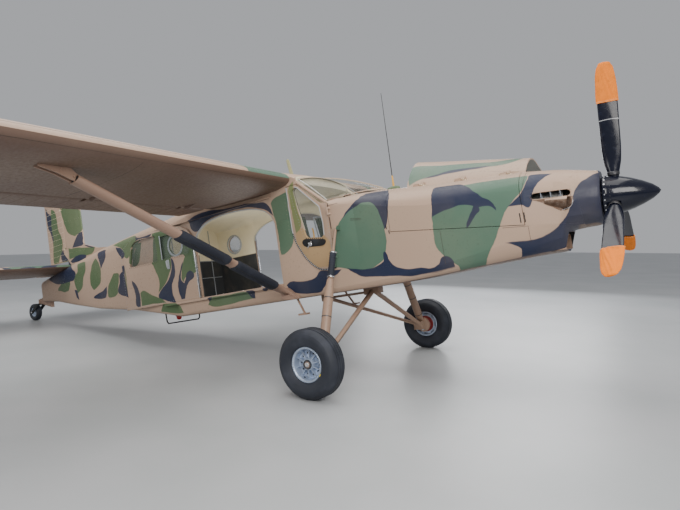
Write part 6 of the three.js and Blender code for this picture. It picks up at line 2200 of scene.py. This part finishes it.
rudder, fin = skin_of("rudder"), skin_of("fin")
beads = kept(
    laid(rudder, [(-6180, sign * 500, z), (-6960, sign * 500, z)], (0, -sign, 0), -1.4, 40)
    for z in range(2380, 4260, 104) for sign in (-1, 1)
)
swept("rudder_beads", beads, 3.1, tail_paint, body="rudder_body", sides=8)
rows = kept(
    laid(fin, [(-5740, sign * 500, z), (-6320, sign * 500, z)], (0, -sign, 0), 0.4, 50)
    for z in range(2480, 4260, 300) for sign in (-1, 1)
)
repeated("fin_rivets", rows, small_rivet, 50, tail_paint)

# Beacon under the rear belly, and the aerials
belly = body_skin.ray_cast(Vector((-3497, 0, 0)), Vector((0, 0, 1)))[0]
lamp = belly.z - 1024
base = lathe(
    [(0.5, lamp), (50, lamp), (56, lamp - 8), (66, -6), (0.5, -6)], belly, (0, 0, -1), 32,
    closed=False,
)
glow = lathe(
    [(42, lamp - 3), (42, lamp + 34), (36, lamp + 52), (22, lamp + 64), (0.5, lamp + 68)], belly,
    (0, 0, -1), 32, closed=False,
)
piece("belly_beacon", base, cockpit_black, also=((glow, tip_red),), crease=50)


def aerial_finish(point):
    return 0 if point.z < 2159 else 1 if point.z < 2296 else 2


blade = [
    [(x + reach * cos(a), thick * sin(a), z) for a in around(24)]
    for x, z, reach, thick in ((-884, 2560, 31, 8), (-888, 2620, 30, 7), (-912, 2760, 28, 6),
                               (-930, 2876, 26, 5), (-933, 2897, 22, 4), (-936, 2904, 10, 2))
]
piece("blade_aerial_skin", loft(blade), aerial_paint, crease=60, replaces=["blade_aerial"])
foot = [
    [(566 + 88 * share * cos(a), 36 * share * sin(a), z) for a in around(40)]
    for share, z in ((1.0, 2110), (1.0, 2140), (0.94, 2154), (0.78, 2164), (0.5, 2171),
                     (0.14, 2174))
]
piece("whip_aerial_foot", loft(foot), foot_green, crease=50)
reskinned("whip_aerial", cabin_paint, sort=aerial_finish,
          others=(flight_yellow, cockpit_black))


# Tail wheel
def middle_of(node):
    points = [UNDRAWN @ v.co for v in frame["nodes"][node].data.vertices]
    return Vector([(min(p[k] for p in points) + max(p[k] for p in points)) / 2 for k in range(3)])


hub = middle_of("tail_wheel")
ACROSS = (0, 1, 0)
outer = [(92, -34), (104, -46), (126, -51.5), (148, -48), (160, -38)]
for y in (-24, -8, 8, 24):
    outer += [(164.6, y - 3), (161.5, y - 1.6), (161.5, y + 1.6), (164.6, y + 3)]
outer += [(160, 38), (148, 48), (126, 51.5), (104, 46), (92, 34), (84, 30), (84, -30)]
piece(
    "tail_tyre", lathe(outer, hub, ACROSS, 72), tyre_black, body="tail_wheel_body", crease=40,
    replaces=["tail_wheel"],
)
dish = [
    (22, -50), (30, -50), (36, -34), (60, -24), (74, -28), (80, -36), (88, -36), (88, 36), (80, 36),
    (74, 28), (60, 24), (36, 34), (30, 50), (22, 50),
]
piece("tail_hub", lathe(dish, hub, ACROSS, 56), wheel_silver, body="tail_wheel_body", crease=34)
for side, turn in SIDES.items():
    bolt = shifted(prism(6, 0, 8), x=52, z=22)
    ringed(f"tail_hub_bolts_{side}", bolt, 6, hub, (0, turn, 0), dark_steel, body="tail_wheel_body")
    nut = moved(prism(17, 0, 14), out_of_side(hub.x, 77 + turn * hub.y, hub.z, turn))
    piece(f"tail_axle_nut_{side}", nut, bright_steel, body="tail_steering", bevel=1)
